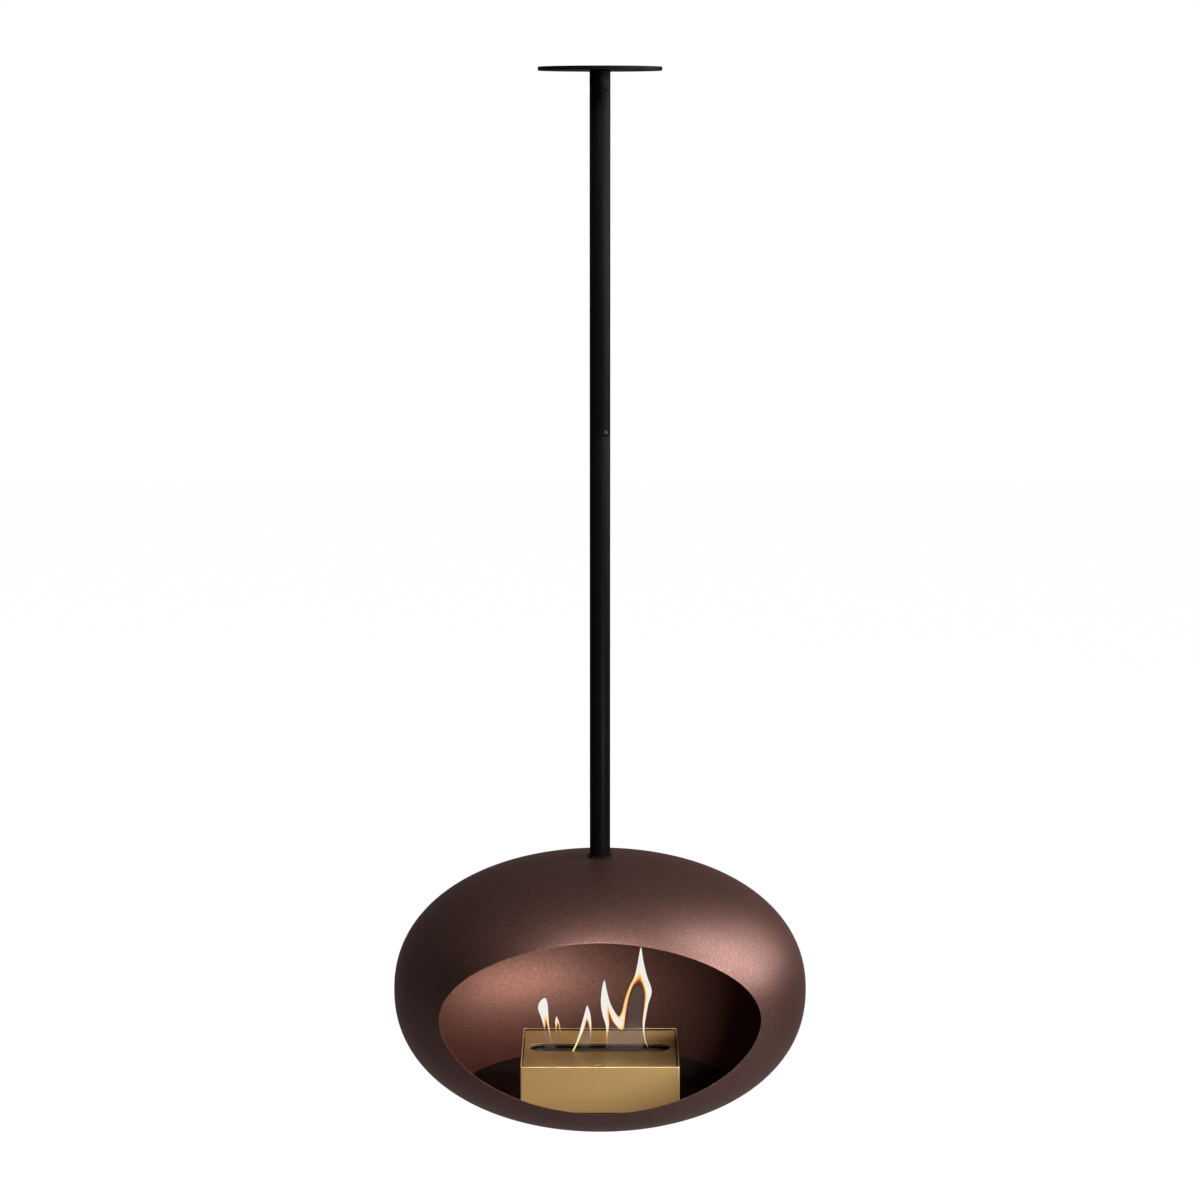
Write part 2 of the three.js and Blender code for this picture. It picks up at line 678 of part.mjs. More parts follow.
// A deep drawn trough that hangs from its flange under the slot.
function fuelContainer() {
  const grown = (ends, sides) => slotShape(containerLength + 2 * ends, containerWidth + 2 * sides);
  const rim = grown(CONTAINER_WALL + CONTAINER_END_FLANGE, CONTAINER_WALL + CONTAINER_FLANGE);
  const flange = raised(rim, flangeBottom, flangeTop);
  const outside = raised(grown(CONTAINER_WALL, CONTAINER_WALL), containerBottom, flangeTop);
  const inside = raised(grown(0, 0), containerBottom + CONTAINER_WALL, flangeTop + CUT_PAST);
  const holes = corners.map((corner) =>
    bar(
      WELD_STUD_DIAMETER + 2 * SEAT_GAP,
      flangeBottom - CUT_PAST,
      flangeTop + CUT_PAST,
      SCREW_SIDES,
    ).translate(weldStudPlace(corner)),
  );
  return named("fuel_container", cut(join(flange, [outside]), [inside, ...holes]), "steel");
}

function studNut(corner) {
  const piece = named(
    `container_nut_${corner.name}`,
    nut(STUD_NUT_WIDTH, STUD_NUT_HEIGHT, WELD_STUD_DIAMETER),
    "steel",
  );
  const [x, y] = weldStudPlace(corner);
  piece.position.set(x, y, flangeBottom - SEAT_GAP - STUD_NUT_HEIGHT);
  return piece;
}

const insideContainer = () =>
  slotShape(containerLength - 2 * SEAT_GAP, containerWidth - 2 * SEAT_GAP);

const wickPad = () => named("wick_pad", raised(insideContainer(), padBottom, padTop), "wool");

// A perforated strip that holds the pad down: two rows of round holes.
function wickRetainer() {
  const [low, high] = [padTop + SEAT_GAP, padTop + SEAT_GAP + RETAINER_THICKNESS];
  const straight = containerLength - containerWidth;
  const perRow = Math.floor(straight / RETAINER_HOLE_PITCH) + 1;
  const drill = bar(RETAINER_HOLE_DIAMETER, low - CUT_PAST, high + CUT_PAST, MESH_HOLE_SIDES);
  const drills = [];
  for (const row of [-1, 1]) {
    for (let i = 0; i < perRow; i += 1) {
      const x = (i - (perRow - 1) / 2) * RETAINER_HOLE_PITCH;
      drills.push(drill.translate([x, (row * containerWidth) / 4, 0]));
    }
  }
  return named("wick_retainer", cut(raised(insideContainer(), low, high), drills), "steel");
}

function insertGroup() {
  const container = group([fuelContainer(), wickPad(), wickRetainer(), ...corners.map(studNut)]);
  container.position.y = SLOT_BACK;
  return group([burnerTopPlate(), container]);
}

function burnerGroup() {
  const burner = group(
    [
      burnerCasing(),
      burnerBase(),
      ...corners.map(burnerFoot),
      ...corners.map(footScrew),
      insertGroup(),
    ],
    hearthTop,
  );
  burner.position.y = -BURNER_FORWARD;
  return burner;
}

const domeGroup = () =>
  group(
    [
      domeBowl("dome_lower", 0, DOME_RINGS),
      domeBowl("dome_upper", DOME_RINGS, 2 * DOME_RINGS),
      crownGasket(),
      crownPlate(),
      crownWasher(),
      crownNut("crown_nut", crownNutTop, CROWN_NUT_HEIGHT),
      crownNut("crown_lock_nut", lockNutTop, LOCK_NUT_HEIGHT),
      hearthPlate(),
      burnerGroup(),
    ],
    domeCentre,
  );

const fireplace = group([ceilingGroup(), poleGroup(), domeGroup()]);
fireplace.name = "hanging_fireplace";

export default fireplace;
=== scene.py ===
import math

import bpy
import numpy as np
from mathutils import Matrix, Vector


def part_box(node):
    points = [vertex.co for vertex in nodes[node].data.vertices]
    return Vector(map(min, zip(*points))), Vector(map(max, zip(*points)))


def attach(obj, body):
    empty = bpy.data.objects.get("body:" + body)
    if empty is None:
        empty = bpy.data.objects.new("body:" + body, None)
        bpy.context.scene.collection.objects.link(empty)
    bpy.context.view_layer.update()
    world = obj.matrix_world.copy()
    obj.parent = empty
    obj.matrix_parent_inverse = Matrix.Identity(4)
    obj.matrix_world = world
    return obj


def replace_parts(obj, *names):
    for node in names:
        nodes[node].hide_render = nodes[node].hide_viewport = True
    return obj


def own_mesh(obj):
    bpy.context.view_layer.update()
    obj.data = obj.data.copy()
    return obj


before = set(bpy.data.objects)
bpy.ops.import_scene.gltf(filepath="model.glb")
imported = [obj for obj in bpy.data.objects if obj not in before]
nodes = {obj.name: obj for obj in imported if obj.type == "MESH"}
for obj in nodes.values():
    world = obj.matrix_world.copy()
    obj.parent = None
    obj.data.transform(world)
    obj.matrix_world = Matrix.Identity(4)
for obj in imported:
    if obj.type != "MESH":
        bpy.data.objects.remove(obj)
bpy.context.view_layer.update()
print("frame loaded,", len(nodes), "nodes")


def gridFaces(rows, columns, wrapRows):
    # quads of a grid whose point (i, j) has the number i * columns + j; columns always wrap
    i, j = np.meshgrid(np.arange(rows if wrapRows else rows - 1), np.arange(columns), indexing="ij")
    i, j = i.ravel(), j.ravel()
    down, right = (i + 1) % rows, (j + 1) % columns
    return np.stack([i * columns + j, down * columns + j, down * columns + right, i * columns + right], 1)


def makePiece(name, loops, material, body, closed=True, sharp=35):
    # loops is a stack of rings (rows, columns, 3). The rings join one to the next, and the last
    # to the first, or, where closed is False, the first and last ring are filled in.
    loops = np.asarray(loops, float)
    rows, columns, _ = loops.shape
    points = loops.reshape(-1, 3)
    quads = gridFaces(rows, columns, closed)
    a, b, c, d = (points[quads[:, k]] for k in range(4))
    # the volume's sign says which way is out: volume = sum of a . (b x c) + a . (c x d)
    volume = np.einsum("ij,ij->", a, np.cross(b, c)) + np.einsum("ij,ij->", a, np.cross(c, d))
    faces = (quads if volume > 0 else quads[:, ::-1]).tolist()
    if not closed:
        first, last = list(range(columns)), list(range((rows - 1) * columns, rows * columns))
        faces += [first, last[::-1]] if volume > 0 else [first[::-1], last]
    mesh = bpy.data.meshes.new(name)
    mesh.from_pydata(points.tolist(), [], faces)
    mesh.shade_smooth()
    mesh.set_sharp_from_angle(angle=math.radians(sharp))
    piece = bpy.data.objects.new(name, mesh)
    bpy.context.scene.collection.objects.link(piece)
    mesh.materials.append(material)
    if body:
        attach(piece, body)
    return piece


def finishFaces(piece, material, rows, columns=None):
    # gives a stretch of a piece's grid its own finish; face (i, j) has the number i * columns + j
    piece.data.materials.append(material)
    count = len(piece.data.polygons)
    index = np.zeros(count, np.int32)
    piece.data.polygons.foreach_get("material_index", index)
    picked = rows[:, None] & (np.ones(count // len(rows), bool) if columns is None else columns)
    index[:picked.size][picked.ravel()] = len(piece.data.materials) - 1
    piece.data.polygons.foreach_set("material_index", index)


def lathe(profile, sides, centre=(0, 0)):
    # a profile of (radius, height) turned about an upright axis: point (k, j) is
    # (radius k * cos of angle j, radius k * sin of angle j, height k)
    profile = np.asarray(profile, float)
    angle = np.linspace(0, 2 * math.pi, sides, endpoint=False)
    x = centre[0] + profile[:, :1] * np.cos(angle)
    y = centre[1] + profile[:, :1] * np.sin(angle)
    return np.stack([x, y, np.broadcast_to(profile[:, 1:], x.shape)], 2)


def softened(profile, radius, steps=3):
    # each corner of a closed profile becomes a short arc: a point goes from one leg to the
    # other as corner + r (1 - sin t) * leg in + r (1 - cos t) * leg out
    profile = np.asarray(profile, float)
    made = []
    for k, corner in enumerate(profile):
        before, after = profile[k - 1] - corner, profile[(k + 1) % len(profile)] - corner
        lengths = np.linalg.norm(before), np.linalg.norm(after)
        r = min(radius, 0.45 * min(lengths))
        t = np.linspace(0, math.pi / 2, steps + 1)[:, None]
        inward, outward = before / lengths[0], after / lengths[1]
        made.append(corner + r * (1 - np.sin(t)) * inward + r * (1 - np.cos(t)) * outward)
    return np.concatenate(made)


def drilled(piece, cutters):
    # the piece less its cutters, which are used up
    for cutter in cutters:
        hole = piece.modifiers.new("hole", "BOOLEAN")
        hole.operation, hole.solver, hole.object = "DIFFERENCE", "EXACT", cutter
    depsgraph = bpy.context.evaluated_depsgraph_get()
    mesh = bpy.data.meshes.new_from_object(piece.evaluated_get(depsgraph))
    piece.modifiers.clear()
    piece.data = mesh
    mesh.set_sharp_from_angle(angle=math.radians(35))
    for cutter in cutters:
        bpy.data.objects.remove(cutter, do_unlink=True)
    return piece


cutterFinish = bpy.data.materials.new("cutterOnly")


def cutter(loops):
    return makePiece("cutter", loops, cutterFinish, None, closed=False)


def addNode(tree, kind, inputs=None, **settings):
    node = tree.nodes.new(kind)
    for key, value in settings.items():
        setattr(node, key, value)
    for key, value in (inputs or {}).items():
        if isinstance(value, bpy.types.NodeSocket):
            tree.links.new(value, node.inputs[key])
        else:
            node.inputs[key].default_value = value
    return node


def calculate(tree, operation, first, second):
    return addNode(tree, "ShaderNodeMath", {0: first, 1: second}, operation=operation).outputs[0]


def rescale(tree, value, low, high, toLow=0.0, toHigh=1.0, **settings):
    # the stretch from low to high becomes toLow to toHigh, and what lies outside stays at its end
    ranges = {"Value": value, "From Min": low, "From Max": high, "To Min": toLow, "To Max": toHigh}
    return addNode(tree, "ShaderNodeMapRange", ranges, **settings).outputs[0]


def mixColors(tree, share, first, second):
    return addNode(tree, "ShaderNodeMix", {0: share, 6: first, 7: second}, data_type="RGBA").outputs[2]


def mixNumbers(tree, share, first, second):
    return addNode(tree, "ShaderNodeMix", {0: share, 2: first, 3: second}, data_type="FLOAT").outputs[0]


def shades(color, spread):
    # a colour that much darker and that much lighter
    return [c * (1 - spread) for c in color] + [1], [c * (1 + spread) for c in color] + [1]


def newMaterial(name):
    material = bpy.data.materials.new(name)
    material.use_nodes = True
    return material, material.node_tree


def newGroup(name, inputs, outputs):
    tree = bpy.data.node_groups.new(name, "ShaderNodeTree")
    for label, kind, value in inputs:
        socket = tree.interface.new_socket(label, in_out="INPUT", socket_type=kind)
        if value is not None:
            socket.default_value = value
    for label, kind in outputs:
        tree.interface.new_socket(label, in_out="OUTPUT", socket_type=kind)
    return tree, addNode(tree, "NodeGroupInput"), addNode(tree, "NodeGroupOutput")


def powderGroup():
    # sprayed powder: a fine orange-peel height, a mask of the flakes that catch the light, and slow
    # mottling; height = fine noise + wider noise, flake = the brightest fifth of the cells
    number = "NodeSocketFloat"
    inputs = [("Vector", "NodeSocketVector", None), ("Grain", number, 620.0), ("Flakes", number, 0.5)]
    outputs = [("Height", number), ("Flake", number), ("Mottle", number)]
    tree, given, made = newGroup("powderCoat", inputs, outputs)
    vector, grain, flakes = (given.outputs[k] for k in ("Vector", "Grain", "Flakes"))
    fine = addNode(tree, "ShaderNodeTexNoise", {
        "Vector": vector, "Scale": grain, "Detail": 3.0, "Roughness": 0.62})
    wide = addNode(tree, "ShaderNodeTexNoise", {
        "Vector": vector, "Scale": calculate(tree, "MULTIPLY", grain, 0.42), "Detail": 2.0})
    height = calculate(tree, "ADD", fine.outputs["Fac"], wide.outputs["Fac"])
    cell = addNode(tree, "ShaderNodeTexVoronoi", {"Vector": vector, "Scale": grain})
    bright = addNode(tree, "ShaderNodeSeparateColor", {"Color": cell.outputs["Color"]})
    flake = calculate(tree, "MULTIPLY", rescale(tree, bright.outputs[0], 0.78, 1.0), flakes)
    slow = addNode(tree, "ShaderNodeTexNoise", {"Vector": vector, "Scale": 9.0, "Detail": 4.0})
    tree.links.new(height, made.inputs["Height"])
    tree.links.new(flake, made.inputs["Flake"])
    tree.links.new(slow.outputs["Fac"], made.inputs["Mottle"])
    return tree


def coat(name, color, flakeColor, rough, metal, grain, flakes, bump, speckle=0.16, specular=0.5,
         clear=0.0, filmRough=0.3, edge=(1, 1, 1)):
    # a sprayed finish: base colour varied by grain and flakes, roughness by slow mottling, and
    # where clear is above 0 a clear film on top
    material, tree = newMaterial(name)
    shader = tree.nodes["Principled BSDF"]
    place = addNode(tree, "ShaderNodeTexCoord")
    powder = addNode(tree, "ShaderNodeGroup", node_tree=powderCoat)
    tree.links.new(place.outputs["Object"], powder.inputs["Vector"])
    powder.inputs["Grain"].default_value = grain
    powder.inputs["Flakes"].default_value = flakes
    dark, light = shades(color, speckle)
    base = mixColors(tree, rescale(tree, powder.outputs["Height"], 0.7, 1.3), dark, light)
    speck = mixColors(tree, powder.outputs["Flake"], base, (*flakeColor, 1))
    matt = rescale(tree, powder.outputs["Mottle"], 0.0, 1.0, rough - 0.03, rough + 0.04)
    relief = addNode(tree, "ShaderNodeBump", {
        "Strength": bump, "Distance": 0.0004, "Height": powder.outputs["Height"]})
    tree.links.new(speck, shader.inputs["Base Color"])
    tree.links.new(matt, shader.inputs["Roughness"])
    tree.links.new(relief.outputs[0], shader.inputs["Normal"])
    shader.inputs["Metallic"].default_value = metal
    shader.inputs["Specular IOR Level"].default_value = specular
    shader.inputs["Specular Tint"].default_value = (*edge, 1)
    shader.inputs["Coat Weight"].default_value = clear
    shader.inputs["Coat Roughness"].default_value = filmRough
    return material


def brushedGroup():
    # rolled sheet: hair-fine lines along one direction, and slow cloudy handling marks
    inputs = [("Vector", "NodeSocketVector", None), ("Lines", "NodeSocketVector", (40.0, 900.0, 900.0))]
    outputs = [("Line", "NodeSocketFloat"), ("Cloud", "NodeSocketFloat")]
    tree, given, made = newGroup("rolledSheet", inputs, outputs)
    vector, lines = given.outputs["Vector"], given.outputs["Lines"]
    stretched = addNode(tree, "ShaderNodeVectorMath", {0: vector, 1: lines}, operation="MULTIPLY")
    line = addNode(tree, "ShaderNodeTexNoise", {"Vector": stretched.outputs[0], "Scale": 1.0, "Detail": 2.0})
    cloud = addNode(tree, "ShaderNodeTexNoise", {"Vector": vector, "Scale": 16.0, "Detail": 4.0})
    tree.links.new(line.outputs["Fac"], made.inputs["Line"])
    tree.links.new(cloud.outputs["Fac"], made.inputs["Cloud"])
    return tree


def sheetMetal(name, color, rough, metal, lines=(40.0, 900.0, 900.0), streak=0.05, cloudy=0.06):
    # colour varied along the rolling lines, roughness by the cloudy marks
    material, tree = newMaterial(name)
    shader = tree.nodes["Principled BSDF"]
    place = addNode(tree, "ShaderNodeTexCoord")
    sheet = addNode(tree, "ShaderNodeGroup", node_tree=rolledSheet)
    tree.links.new(place.outputs["Object"], sheet.inputs["Vector"])
    sheet.inputs["Lines"].default_value = lines
    dark, light = shades(color, streak)
    base = mixColors(tree, sheet.outputs["Line"], dark, light)
    matt = rescale(tree, sheet.outputs["Cloud"], 0.0, 1.0, rough - cloudy, rough + cloudy)
    relief = addNode(tree, "ShaderNodeBump", {
        "Strength": 0.05, "Distance": 0.0002, "Height": sheet.outputs["Line"]})
    tree.links.new(base, shader.inputs["Base Color"])
    tree.links.new(matt, shader.inputs["Roughness"])
    tree.links.new(relief.outputs[0], shader.inputs["Normal"])
    shader.inputs["Metallic"].default_value = metal
    return material


def addPaintedShade(material, unshadedBelow, black):
    # painted shade over a finish: the finish below the first height, black above the second
    tree = material.node_tree
    shader = tree.nodes["Principled BSDF"]
    bare = shader.inputs["Base Color"].links[0].from_socket
    place = addNode(tree, "ShaderNodeTexCoord")
    height = addNode(tree, "ShaderNodeSeparateXYZ", {0: place.outputs["Object"]})
    shadeShare = rescale(tree, height.outputs["Z"], unshadedBelow, black)
    # near black, the colour of the painted shade
    tree.links.new(mixColors(tree, shadeShare, bare, (0.004, 0.003, 0.002, 1)), shader.inputs["Base Color"])


powderCoat = powderGroup()
rolledSheet = brushedGroup()
coats = {
    "moccaCoat": {
        "color": (0.119, 0.0525, 0.041), "flakeColor": (0.30, 0.18, 0.145), "rough": 0.46, "metal": 0.97,
        "grain": 620.0, "flakes": 0.34, "bump": 0.12, "speckle": 0.2, "clear": 0.55, "filmRough": 0.38,
        "edge": (0.5, 0.3, 0.26)},
    "moccaInside": {
        "color": (0.119, 0.055, 0.042), "flakeColor": (0.26, 0.15, 0.12), "rough": 0.52, "metal": 0.97,
        "grain": 620.0, "flakes": 0.34, "bump": 0.12, "speckle": 0.2, "clear": 0.3, "filmRough": 0.5,
        "edge": (0.5, 0.3, 0.26)},
    "moccaEdge": {
        "color": (0.24, 0.125, 0.10), "flakeColor": (0.4, 0.25, 0.2), "rough": 0.36, "metal": 0.9,
        "grain": 620.0, "flakes": 0.2, "bump": 0.05, "edge": (0.6, 0.4, 0.36)},
    "blackPowder": {
        "color": (0.002, 0.0019, 0.002), "flakeColor": (0.009, 0.008, 0.0085), "rough": 0.38, "metal": 0.0,
        "grain": 900.0, "flakes": 0.3, "bump": 0.35, "specular": 0.04},
    "hearthBlack": {
        "color": (0.016, 0.010, 0.009), "flakeColor": (0.04, 0.03, 0.028), "rough": 0.6, "metal": 0.2,
        "grain": 700.0, "flakes": 0.2, "bump": 0.25, "specular": 0.3},
    "sinteredBronze": {
        "color": (0.30, 0.19, 0.08), "flakeColor": (0.5, 0.36, 0.2), "rough": 0.5, "metal": 0.9,
        "grain": 1500.0, "flakes": 0.3, "bump": 0.3},
    "blackPolymer": {
        "color": (0.004, 0.004, 0.004), "flakeColor": (0.01, 0.01, 0.01), "rough": 0.6, "metal": 0.0,
        "grain": 1100.0, "flakes": 0.1, "bump": 0.15, "specular": 0.08},
    "ceramicWool": {
        "color": (0.55, 0.50, 0.42), "flakeColor": (0.7, 0.66, 0.58), "rough": 0.95, "metal": 0.0,
        "grain": 420.0, "flakes": 0.4, "bump": 0.9, "speckle": 0.22},
}
sheets = {
    "satinBrass": {"color": (0.52, 0.335, 0.13), "rough": 0.44, "metal": 0.45},
    # painted highlight: a lighter and slightly glossier brass for rounded edges, standing for the bright
    # lines of light along them
    "paintedHighlightBrass": {"color": (0.88, 0.62, 0.29), "rough": 0.3, "metal": 0.5},
    # painted shade: a near-black brass for the casing's inner walls and the slot's wall, where shade falls
    # inside the burner
    "paintedShadeBrass": {"color": (0.012, 0.008, 0.004), "rough": 0.5, "metal": 0.5, "streak": 0.3},
    "plainSteel": {"color": (0.42, 0.41, 0.40), "rough": 0.34, "metal": 1.0, "streak": 0.08},
    "darkSteel": {"color": (0.11, 0.105, 0.10), "rough": 0.3, "metal": 1.0, "streak": 0.08},
    "smokedSteel": {"color": (0.15, 0.105, 0.06), "rough": 0.5, "metal": 0.85, "streak": 0.15},
}
finish = {name: coat(name, **settings) for name, settings in coats.items()}
finish.update({name: sheetMetal(name, **settings) for name, settings in sheets.items()})
print("finishes mixed,", len(finish))


fireside = (-0.14, 0.27, -1.51)  # the back of the chamber, left of the flames
domeMiddle = (0, 0, -1.42)
studio = {
    "cameraPlace": (0, -5.2, -0.1051), "cameraPitch": 0.1367, "lens": 101.13,
    "floorHeight": -2.65, "floorHalf": 20.0, "floorColor": (0.22, 0.22, 0.22, 1),
    "floorGlow": (0.6, 0.97), "shadowReach": (0.5, 2.2), "floorShine": 0.12,
    "roomLight": 0.10, "frontGlossy": 0.06, "backGlossy": 0.12,
    "lamps": {
        "topBox": {"place": (0, -1.50, 1.16), "size": (0.8, 0.8), "power": 80, "aim": domeMiddle},
        "rightBox": {"place": (2.25, -1.30, 0.06), "size": (0.8, 0.8), "power": 50, "aim": domeMiddle},
        "frontBox": {"place": (1.30, -2.25, 0.06), "size": (0.8, 0.8), "power": 20, "aim": domeMiddle},
        "sideStrip": {"place": (2.42, 0.21, 0.33), "size": (0.8, 3.0), "power": 66, "aim": domeMiddle},
        "backBox": {"place": (2.46, 1.15, -0.17), "size": (1.2, 1.6), "power": 14, "aim": domeMiddle},
        "mouthBox": {"place": (0.60, -0.80, -1.30), "size": (0.4, 0.4), "power": 6.6, "aim": fireside},
        "chamberLamp": {"place": (0.15, 0.075, -1.335), "size": (0.12, 0.06), "power": 0.68, "spread": 130,
                        "aim": fireside, "color": (1.0, 0.87, 0.80)},
    },
}


def makeCamera():
    camera = bpy.data.objects.new("camera", bpy.data.cameras.new("camera"))
    bpy.context.scene.collection.objects.link(camera)
    camera.location = studio["cameraPlace"]
    camera.rotation_euler = (math.pi / 2 - studio["cameraPitch"], 0, 0)
    camera.data.lens, camera.data.sensor_width = studio["lens"], 36
    camera.data.clip_end = 60
    bpy.context.scene.camera = camera


def makeLamps():
    # a lamp shines down its own axis: its tilt is the angle of (place - aim) from straight up
    for name, lamp in studio["lamps"].items():
        light = bpy.data.lights.new(name, "AREA")
        light.shape, light.energy = "RECTANGLE", lamp["power"]
        light.size, light.size_y = lamp["size"]
        light.color = lamp.get("color", (1, 1, 1))
        light.spread = math.radians(lamp.get("spread", 180))
        holder = bpy.data.objects.new(name, light)
        bpy.context.scene.collection.objects.link(holder)
        away = np.subtract(lamp["place"], lamp["aim"])
        tilt = math.acos(away[2] / np.linalg.norm(away))
        holder.location = lamp["place"]
        holder.rotation_euler = (tilt, 0, math.atan2(away[1], away[0]) + math.pi / 2)
        holder.visible_camera = False


def makeWorld():
    # white where the camera looks past the object or through glass; metal shows a dim part of that
    # white, a little more of it from behind; everything else gets plain soft room light
    world = bpy.data.worlds.new("room")
    bpy.context.scene.world = world
    world.use_nodes = True
    tree = world.node_tree
    tree.nodes.clear()
    path = addNode(tree, "ShaderNodeLightPath").outputs
    place = addNode(tree, "ShaderNodeTexCoord")
    direction = addNode(tree, "ShaderNodeSeparateXYZ", {0: place.outputs["Generated"]})
    metal = rescale(tree, direction.outputs["Y"], 0.0, 0.6, studio["frontGlossy"], studio["backGlossy"],
                    interpolation_type="SMOOTHSTEP")
    straight = calculate(tree, "MAXIMUM", path["Is Camera Ray"], path["Is Transmission Ray"])
    soft = mixNumbers(tree, path["Is Glossy Ray"], studio["roomLight"], metal)
    strength = mixNumbers(tree, straight, soft, 1.0)
    background = addNode(tree, "ShaderNodeBackground", {"Color": (1, 1, 1, 1), "Strength": strength})
    addNode(tree, "ShaderNodeOutputWorld", {"Surface": background.outputs[0]})


def makeFloor():
    # pale floor that shows its own white to the camera and a dim part of it to metal, with less of
    # it under the object so that the shadow stays, and that is clear when looked at from below
    material, tree = newMaterial("paleFloor")
    tree.nodes.clear()
    path = addNode(tree, "ShaderNodeLightPath").outputs
    place = addNode(tree, "ShaderNodeTexCoord")
    flat = addNode(tree, "ShaderNodeVectorMath", {0: place.outputs["Object"], 1: (1, 1, 0)},
                   operation="MULTIPLY")
    reach = addNode(tree, "ShaderNodeVectorMath", {0: flat.outputs[0]}, operation="LENGTH")
    glow = rescale(tree, reach.outputs["Value"], *studio["shadowReach"], *studio["floorGlow"])
    straight = calculate(tree, "MAXIMUM", path["Is Camera Ray"], path["Is Transmission Ray"])
    metal = calculate(tree, "MULTIPLY", path["Is Glossy Ray"], studio["floorShine"])
    strength = calculate(tree, "MULTIPLY", glow, calculate(tree, "MAXIMUM", straight, metal))
    pale = addNode(tree, "ShaderNodeBsdfDiffuse", {"Color": studio["floorColor"]})
    shine = addNode(tree, "ShaderNodeEmission", {"Strength": strength})
    above = addNode(tree, "ShaderNodeAddShader", {0: pale.outputs[0], 1: shine.outputs[0]})
    below = addNode(tree, "ShaderNodeBsdfTransparent")
    facing = addNode(tree, "ShaderNodeNewGeometry")
    either = addNode(tree, "ShaderNodeMixShader", {
        0: facing.outputs["Backfacing"], 1: above.outputs[0], 2: below.outputs[0]})
    addNode(tree, "ShaderNodeOutputMaterial", {"Surface": either.outputs[0]})
    half, height = studio["floorHalf"], studio["floorHeight"]
    square = [(-half, -half, height), (half, -half, height), (half, half, height), (-half, half, height)]
    mesh = bpy.data.meshes.new("floor")
    mesh.from_pydata(square, [], [(0, 1, 2, 3)])
    mesh.materials.append(material)
    floor = bpy.data.objects.new("floor", mesh)
    bpy.context.scene.collection.objects.link(floor)


makeCamera()
makeLamps()
makeWorld()
makeFloor()
bpy.context.scene.view_settings.view_transform = "Standard"
print("studio ready")


dome = {
    "width": 0.650, "height": 0.421, "fullness": 2.18, "wall": 0.002,
    "mouthWidth": 0.490, "mouthHeight": 0.263, "mouthRise": 0.0025, "mouthFullness": 1.88,
    "edge": 0.0006, "around": 336, "along": 84,
    "lipTurn": 0.006, "backTurn": 0.004,  # radians from the mouth's edge and from the back's middle
    "crowding": 1.15,  # above 1, rows stand closer near the mouth
}
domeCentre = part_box("dome_lower")[0].z + dome["height"] / 2


def domeRadius(height, inset):
    # radius = half width * (1 - |height / half height| ^ n) ^ (1 / n)
    a, c, n = dome["width"] / 2 - inset, dome["height"] / 2 - inset, dome["fullness"]
    return a * (1 - np.clip(np.abs(height) / c, 0, 1) ** n) ** (1 / n)


def domeSurface(direction, inset):
    # a ray from the centre meets the dome at 1 / ((radius share) ^ n + (height share) ^ n) ^ (1 / n)
    a, c, n = dome["width"] / 2 - inset, dome["height"] / 2 - inset, dome["fullness"]
    flat = np.hypot(direction[..., 0], direction[..., 1])
    reach = ((flat / a) ** n + (np.abs(direction[..., 2]) / c) ** n) ** (-1 / n)
    return direction * reach[..., None]


def mouthEdge(inset):
    # the mouth's outline (a superellipse seen from the front) carried straight back onto the dome
    t = np.linspace(0, 2 * math.pi, dome["around"], endpoint=False)
    power = 2 / dome["mouthFullness"]
    x = dome["mouthWidth"] / 2 * np.sign(np.cos(t)) * np.abs(np.cos(t)) ** power
    z = dome["mouthRise"] + dome["mouthHeight"] / 2 * np.sign(np.sin(t)) * np.abs(np.sin(t)) ** power
    y = -np.sqrt(domeRadius(z, inset) ** 2 - x ** 2)
    return np.stack([x, y, z], 1)


def domeRows(inset):
    # rows from just behind the mouth's edge to the back: each point keeps its angle round the
    # mouth's axis while its angle from straight ahead grows to a half turn
    edge = mouthEdge(inset)
    turn = np.arctan2(edge[:, 2], edge[:, 0])
    start = np.arctan2(np.hypot(edge[:, 0], edge[:, 2]), -edge[:, 1])
    share = np.linspace(0, 1, dome["along"]) ** dome["crowding"]
    first, last = start + dome["lipTurn"], math.pi - dome["backTurn"]
    tilt = first + (last - first) * share[:, None]
    direction = np.stack([np.sin(tilt) * np.cos(turn), -np.cos(tilt), np.sin(tilt) * np.sin(turn)], 2)
    return domeSurface(direction, inset)


def roundedEdge(corner, towardA, towardB, radius, steps=3):
    # each row of corners becomes rows of a short arc, as in softened
    legs = [leg / np.linalg.norm(leg, axis=1, keepdims=True) for leg in (towardA - corner, towardB - corner)]
    t = np.linspace(0, math.pi / 2, steps + 1)[:, None, None]
    return corner + radius * (1 - np.sin(t)) * legs[0] + radius * (1 - np.cos(t)) * legs[1]


def makeDome():
    outside, inside = domeRows(0), domeRows(dome["wall"])
    edgeOut, edgeIn = mouthEdge(0), mouthEdge(dome["wall"])
    lipOut = roundedEdge(edgeOut, outside[0], edgeIn, dome["edge"])
    lipIn = roundedEdge(edgeIn, edgeOut, inside[0], dome["edge"])
    rows = np.concatenate([outside[::-1], lipOut, lipIn, inside])
    rows[..., 2] += domeCentre
    piece = makePiece("dome", rows, finish["moccaCoat"], "hanger", closed=False)
    row = np.arange(len(rows) - 1)
    lip = dome["along"] + len(lipOut) - 1
    finishFaces(piece, finish["moccaEdge"], (row >= lip) & (row < lip + len(lipIn)))
    finishFaces(piece, finish["moccaInside"], row >= lip + len(lipIn))
    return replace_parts(piece, "dome_lower", "dome_upper")


makeDome()
print("dome made")


